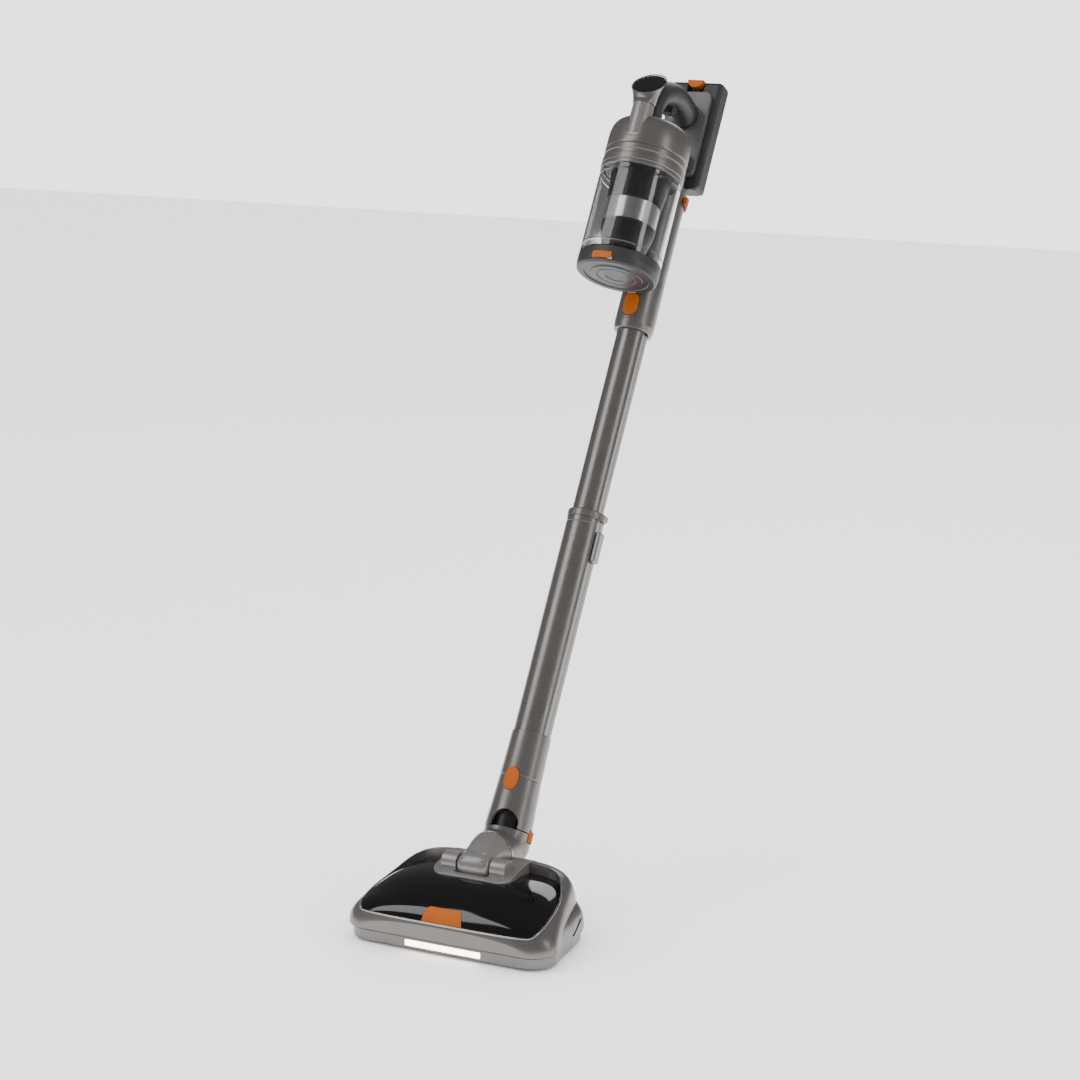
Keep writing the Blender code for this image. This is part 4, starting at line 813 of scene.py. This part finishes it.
def make_neck():
    """The elbow: a ball, the barrel of the swivel and the neck up into the casing, made one and bored."""
    centre = np.array((0.0, 0.0790, 0.0825))
    ball_axis = (centre, RIGHT, BACK_WAND, UP_WAND)
    half_turn = np.linspace(math.pi / 2, -math.pi / 2, 49)
    sphere = lambda r: np.stack([r * np.cos(half_turn), r * np.sin(half_turn)], 1)
    rod = lambda name, r, low, high, axis: turned(name, [(0, high), (r, high), (r, low), (0, low)], axis)
    level = (np.array((0.0, 0.0, 0.0800)), RIGHT, np.array((0, 0, -1.0)), np.array((0, 1.0, 0)))
    elbow = turned("elbow_skin", sphere(0.0260), ball_axis, GREY_PAINT, False, 0.0)
    finish_piece(elbow, "neck", "elbow", slot="warm_grey_plastic",
                 joins=[rod("barrel", 0.0246, 0.0493, 0.0800, level),
                        rod("neck", 0.0250, -0.0760, -0.0450, WAND_AXIS)],
                 cuts=[box_between("above", (-0.05, -0.05, -0.0570), (0.05, 0.05, 0.01), ON_WAND),
                       rod("way_down", 0.0146, -0.0750, -0.0400, WAND_AXIS),
                       rod("way_front", 0.0150, 0.0400, 0.0800, level),
                       turned("corner", sphere(0.0155), ball_axis, None, False, 0.0),
                       box_between("front", (-0.04, 0.0, 0.04), (0.04, 0.0493, 0.13), lambda p: p),
                       box_between("heel_room", (0.0188, 0.0, -0.0664), (0.0320, 0.0120, -0.0516), ON_WAND)])
    ring = turned("swivel_ring_skin", [(0.0256, 0.0490), (0.0256, 0.0470), (0.0155, 0.0470), (0.0155, 0.0490)],
                  level, BRIGHT_TRIM, True, 0.0004)
    finish_piece(ring, "neck", "swivel_ring", slot="steel")
    way = np.array([(0.0460, 0.0794), (0.0370, 0.0788), (0.0285, 0.0766), (0.0225, 0.0725), (0.0190, 0.0665)])
    share = np.linspace(0, 4, 97)
    y = smooth_line(share, np.arange(5.0), way[:, 0])
    z = smooth_line(share, np.arange(5.0), way[:, 1])
    along = np.stack([np.gradient(y), np.gradient(z)], 1)
    along /= np.linalg.norm(along, axis=1, keepdims=True)
    radius = 0.0113 - 0.0007 * np.cos(share * 12.0)
    angle = np.linspace(0, TURN, 64, endpoint=False)
    x = radius[:, None] * np.cos(angle)
    side = radius[:, None] * np.sin(angle)
    hose = skin("hose_skin", np.stack([x, y[:, None] - along[:, 1:] * side, z[:, None] + along[:, :1] * side], -1),
                HOSE_RUBBER)
    finish_piece(hose, "yoke", "neck_hose", slot="black_rubber")


def make_yoke():
    """The yoke's thumb: superellipses along y, between a top and a bottom line that close in an arc at the nose."""
    pivot_y, pivot_z, nose = 0.0165, 0.0765, 0.0152
    share = np.linspace(0, 1, 64)
    y = 0.0013 + 0.0451 * (1 - np.cos(math.pi / 2 * share))
    bow = np.sqrt(np.maximum(0.0, nose ** 2 - (y - pivot_y) ** 2))
    top = np.where(y < 0.0180, pivot_z + bow,
                   smooth_line(y, (0.0180, 0.0250, 0.0340, 0.0464), (0.0916, 0.0958, 0.1008, 0.1046)))
    foot = np.where(y < 0.0139, pivot_z - bow,
                    smooth_line(y, (0.0139, 0.0270, 0.0464), (0.0615, 0.0582, 0.0554)))
    wide = smooth_line(y, (0.0013, 0.0165, 0.0300, 0.0464), (0.0188, 0.0190, 0.0200, 0.0249))
    wide = wide - 0.0080 * (1 - np.sqrt(1 - np.clip((0.0093 - y) / 0.0080, 0, 1) ** 2))
    power = (2 / np.interp(y, (0.0013, 0.0200, 0.0464), (3.2, 3.6, 2.05)))[:, None]
    angle = np.linspace(0, TURN, 96, endpoint=False)
    x = wide[:, None] * np.sign(np.cos(angle)) * np.abs(np.cos(angle)) ** power
    z = ((top + foot) / 2)[:, None] + ((top - foot) / 2)[:, None] * np.sign(np.sin(angle)) * np.abs(np.sin(angle)) ** power
    thumb = skin("yoke_skin", np.stack([x, np.broadcast_to(y[:, None], x.shape), z], -1), PALE_GREY)
    level = (np.array((0.0, 0.0, 0.0795)), RIGHT, np.array((0, 0, -1.0)), np.array((0, 1.0, 0)))
    rod = lambda name, r, low, high, axis: turned(name, [(0, high), (r, high), (r, low), (0, low)], axis)
    finish_piece(thumb, "yoke", "yoke", slot="light_grey_plastic",
                 cuts=[rod("airway", 0.0131, 0.0200, 0.0600, level),
                       box_between("mouth", (-0.0132, 0.0050, 0.0500), (0.0132, 0.0350, 0.0860), lambda p: p),
                       rod("pins", 0.0043, -0.03, 0.03, axis_x(0, pivot_y, pivot_z))])


# ---------------------------------------------------------------- head

HEAD_FRONT, HEAD_REAR, HEAD_HALF = -0.0620, 0.0730, 0.1225
FRONT_CORNER, REAR_CORNER = 0.0280, 0.0260
SEAM = 0.0160
CROWN_Y = (-0.0620, -0.0600, -0.0560, -0.0500, -0.0400, -0.0280, -0.0150, -0.0010, 0.0150, 0.0320, 0.0480,
           0.0600, 0.0690, 0.0730)
CROWN_Z = (0.0310, 0.0380, 0.0450, 0.0505, 0.0565, 0.0620, 0.0670, 0.0708, 0.0745, 0.0780, 0.0790,
           0.0760, 0.0680, 0.0560)
WINDOW_Z = (0.0310, 0.0380, 0.0450, 0.0505, 0.0565, 0.0620, 0.0665, 0.0692, 0.0700, 0.0695, 0.0670,
            0.0620, 0.0520, 0.0400)


def half_width(y, inset=0.0):
    """Half the head's width at y: sides that come in 0.27 per unit to the rear, less a round at each corner."""
    front, rear = HEAD_FRONT + inset, HEAD_REAR - inset
    side = HEAD_HALF - inset - 0.27 * np.maximum(0.0, y - (HEAD_FRONT + FRONT_CORNER))
    near = np.clip(front + FRONT_CORNER - y, 0, FRONT_CORNER)
    far = np.clip(y - rear + REAR_CORNER, 0, REAR_CORNER)
    return (side - FRONT_CORNER + np.sqrt(FRONT_CORNER ** 2 - near ** 2) - REAR_CORNER
            + np.sqrt(REAR_CORNER ** 2 - far ** 2))


def squareness(y):
    return np.interp(y, (-0.062, -0.034, 0.018, 0.050), (2.6, 2.5, 3.6, 4.6))


def head_sections(y, wide, tall, foot, power, count=61):
    """Half superellipses that stand on foot: x is wide times cos to the power, z is foot plus tall times sin to it."""
    angle = np.linspace(0, math.pi, count)
    power = np.broadcast_to(power, y.shape)[:, None]
    cosine, sine = np.cos(angle), np.abs(np.sin(angle))
    x = wide[:, None] * np.sign(cosine) * np.abs(cosine) ** power
    z = foot + tall[:, None] * sine ** power
    return np.stack([x, np.broadcast_to(y[:, None], x.shape), z], -1)


def head_form(name, inset=0.0, foot=SEAM, paint=None, heights=CROWN_Z):
    """The head's form above its seam, or with an inset the hollow inside it."""
    share = np.linspace(0, 1, 72)
    station = HEAD_FRONT + (HEAD_REAR - HEAD_FRONT) * (0.5 - 0.5 * np.cos(math.pi * share))
    y = np.clip(station, HEAD_FRONT + inset, HEAD_REAR - inset)
    crown = smooth_line(station, CROWN_Y, heights)
    return skin(name, head_sections(y, half_width(y, inset), crown - inset - foot, foot, 2 / squareness(station)),
                paint)


def flare(y):
    """How far the fender stands out from the head's side."""
    return np.interp(y, (-0.030, -0.010, 0.020, 0.050, 0.062, 0.073),
                     (-0.002, 0.0012, 0.0060, 0.0095, 0.0090, 0.0030))


def fenders(name):
    y = np.linspace(-0.0260, 0.0700, 33)
    return skin(name, head_sections(y, half_width(y) + flare(y), np.full_like(y, 0.0400), SEAM, 2 / 3))


def fender_slots():
    """Cutters for a slanted shadow slot low on each fender."""
    outline = [(0.0120, 0.0186), (0.0540, 0.0345), (0.0560, 0.0312), (0.0180, 0.0172)]
    return [prism(f"fender_slot_{side}", outline, np.array((side * 0.1085, 0.0, 0.0)), np.array((0, 1.0, 0)),
                  np.array((0, 0, 1.0)), side * 0.0200 * RIGHT) for side in (-1, 1)]


def both_sides(right):
    """An outline closed by its mirror image."""
    right = np.asarray(right, float)
    return np.concatenate([right, right[::-1] * (-1, 1)])


def upright(name, outline, low, high):
    return prism(name, outline, np.array((0.0, 0.0, low)), RIGHT, np.array((0, 1.0, 0)),
                 np.array((0, 0, high - low)))


WINDOW_EDGE = ((0.0900, -0.0700), (0.1010, -0.0540), (0.1050, -0.0440), (0.1060, -0.0300),
               (0.1045, -0.0100), (0.1010, 0.0080), (0.0960, 0.0220), (0.0900, 0.0330), (0.0850, 0.0400))


def window_edge(inset=0.0):
    """The right side of the window's outline from above, from front to rear."""
    right = [(x - inset, y) for x, y in WINDOW_EDGE]
    return right + [(0.0790 - inset, 0.0440 - inset), (0.0700, 0.0460 - inset)]


def tab_edge(spread=0.0):
    """The right side of the window latch's outline."""
    wide, narrow = 0.0234 + spread, 0.0196 + spread
    return [(wide, -0.0730), (wide, -0.0603), (narrow, -0.0530 + spread), (narrow - 0.0020, -0.0516 + spread)]


def cradle_edge(inset=0.0):
    half, front = 0.0470 + inset, -0.0046 - inset
    return np.concatenate([arc((half - 0.0150, front + 0.0150), 0.0150, -90, 0, 12),
                           [(half, 0.0640), (half - 0.006, 0.0700)]])


def notch_edge():
    return np.array([(0.0285, 0.12), (0.0285, 0.0500), (0.0256, 0.0429), (0.0185, 0.0400)])[::-1]


def make_head():
    hollow = head_form("hollow", 0.0026, SEAM - 0.001, None, WINDOW_Z)
    wells = []
    for side in (-1, 1):
        ends = sorted((side * (0.0930 - 0.0155), side * (0.0930 + 0.0070)))
        wells.append(box_between(f"well_{side}", (ends[0], 0.0395, -0.01), (ends[1], 0.0725, 0.0310), lambda p: p))
    housing = head_form("housing_shell", 0.0, SEAM, GREY_PAINT)
    finish_piece(housing, "head", "head_housing", slot="warm_grey_plastic", joins=[fenders("fenders")],
                 cuts=[hollow, *fender_slots(), upright("opening", both_sides(window_edge()), 0.0350, 0.12),
                       upright("seat", both_sides(cradle_edge(GAP)), 0.0300, 0.12),
                       upright("notch", both_sides(notch_edge()), 0.0, 0.12), *wells])

    window = head_form("window_shell", 0.0002, SEAM, SMOKED, WINDOW_Z)
    outline = both_sides(tab_edge(GAP)[:0:-1] + window_edge(GAP))
    finish_piece(window, "window", "window_cover", slot="smoked_window",
                 keeps=[upright("outline", outline, 0.0354, 0.12)],
                 cuts=[head_form("room", 0.0026, SEAM - 0.001, None, WINDOW_Z),
                       upright("cradle_room", both_sides(cradle_edge(2 * GAP)), 0.0300, 0.12)])

    latch = head_form("latch_shell", -0.0006, SEAM, ORANGE, WINDOW_Z)
    finish_piece(latch, "window_latch", "window_latch", slot="orange_plastic",
                 keeps=[upright("outline", both_sides(tab_edge()), 0.0356, 0.0550)],
                 cuts=[head_form("room", 0.0024, SEAM - 0.001, None, WINDOW_Z)])
    make_trim()


def head_height(x, y):
    """The height of the head's skin over x, y."""
    wide, power = half_width(y), squareness(y)
    tall = smooth_line(y, CROWN_Y, CROWN_Z) - SEAM
    return SEAM + tall * np.maximum(0.0, 1 - np.abs(x / wide) ** power) ** (1 / power)


def make_trim():
    """A bright bead round the window's opening: a round section carried along its outline on the head's skin.

    Along the sides it stands 1 mm outside the outline, and across the front it follows the height
    at which the opening starts.
    """
    side = np.array(window_edge()[1:-2])
    share = np.linspace(0, len(side) - 1, 60)
    knots = np.arange(float(len(side)))
    x = smooth_line(share, knots, side[:, 0]) + 0.0010
    y = smooth_line(share, knots, side[:, 1])
    right = np.stack([x, y, head_height(x, y)], 1)
    across = np.linspace(-0.0985, 0.0985, 80)
    depth = np.linspace(-0.0619, -0.0400, 160)
    heights = head_height(across[:, None], np.broadcast_to(depth, (80, 160)).reshape(80, 160))
    front_y = np.array([np.interp(0.0345, row, depth) for row in heights])
    front = np.stack([across, front_y - 0.0002, np.full_like(across, 0.0345)], 1)
    path = np.concatenate([right[::-1], front[::-1], right * (-1, 1, 1)])
    length = np.concatenate([[0], np.cumsum(np.linalg.norm(np.diff(path, axis=0), axis=1))])
    places = np.linspace(0, length[-1], 320)
    path = np.stack([np.interp(places, length, path[:, i]) for i in range(3)], 1)
    inner = np.stack([np.convolve(path[:, i], np.full(9, 1 / 9), "valid") for i in range(3)], 1)
    path = np.concatenate([path[:4], inner, path[-4:]])
    along = np.gradient(path, axis=0)
    along /= np.linalg.norm(along, axis=1, keepdims=True)
    out = np.cross(along, (0.0, 0.0, 1.0))
    out /= np.linalg.norm(out, axis=1, keepdims=True)
    up = np.cross(out, along)
    angle = np.linspace(0, TURN, 16, endpoint=False)
    thick = 0.0011 * np.sin(math.pi * np.linspace(0.02, 0.98, len(path))) ** 0.25
    bead = skin("window_trim", path[:, None] + (thick[:, None] * np.cos(angle))[..., None] * out[:, None]
                + (thick[:, None] * np.sin(angle))[..., None] * up[:, None], BRIGHT_TRIM)
    finish_piece(bead, "head", slot="warm_grey_plastic")


def make_cradle():
    cradle = head_form("cradle_shell", -0.0004, SEAM, PALE_GREY)
    pivot_y, pivot_z = 0.0165, 0.0765
    rod = lambda name, r, low, high: turned(name, [(0, high), (r, high), (r, low), (0, low)],
                                            axis_x(0, pivot_y, pivot_z))
    front = pivot_y - 0.0152 - 0.0006
    way = both_sides([(0.0198, front), (0.0198, 0.0200), (0.0270, 0.0330), (0.0270, 0.0900)])
    held = finish_piece(cradle, "head", slot="light_grey_plastic",
                        keeps=[upright("outline", both_sides(cradle_edge()), 0.0300, 0.12)],
                        cuts=[head_form("room", 0.0036, SEAM - 0.001, None, WINDOW_Z)])
    held.modifiers.clear()
    finish_piece(held, "head", "neck_cradle", slot="light_grey_plastic",
                 joins=[rod("barrel_left", 0.0112, -0.0380, -0.0200), rod("barrel_right", 0.0112, 0.0200, 0.0380)],
                 cuts=[upright("yoke_slot", way, 0.0, 0.12), rod("bore", 0.0043, -0.0345, 0.0345),
                       upright("notch", both_sides(notch_edge()), 0.0, 0.12)])


def make_wheels():
    """Wheels with a shallow groove round their tread, and plain rollers."""
    for side, sign in (("left", -1), ("right", 1)):
        radius = 0.0150
        wheel = turned(f"wheel_{side}_skin",
                       [(radius - 0.0015, 0.0060), (radius, 0.0045), (radius, 0.0018), (radius - 0.0006, 0.0015),
                        (radius - 0.0006, -0.0015), (radius, -0.0018), (radius, -0.0045),
                        (radius - 0.0015, -0.0060), (0.0100, -0.0060), (0.0092, -0.0052), (0.0050, -0.0052),
                        (0.0042, -0.0060), (0.0026, -0.0060), (0.0026, 0.0060), (0.0042, 0.0060),
                        (0.0050, 0.0052), (0.0092, 0.0052), (0.0100, 0.0060)],
                       axis_x(sign * 0.0930, 0.0560, radius), RUBBER, True, 0.0003, 64)
        finish_piece(wheel, f"wheel_{side}", f"wheel_{side}", slot="black_rubber")
        roller = turned(f"roller_{side}_skin", [(0.0065, 0.0058), (0.0065, -0.0058), (0.0019, -0.0058),
                                                (0.0019, 0.0058)], axis_x(sign * 0.0600, 0.0130, 0.0065),
                        RUBBER, True, 0.0006, 48)
        finish_piece(roller, f"roller_{side}", f"front_roller_{side}", slot="black_rubber")


make_camera()
make_studio()
paint_frame()
make_wand()
make_duct()
make_collar_and_housing()
make_cyclone()
make_cup()
make_handle()
make_battery_foot()
make_display()
make_neck()
make_yoke()
make_head()
make_cradle()
make_wheels()
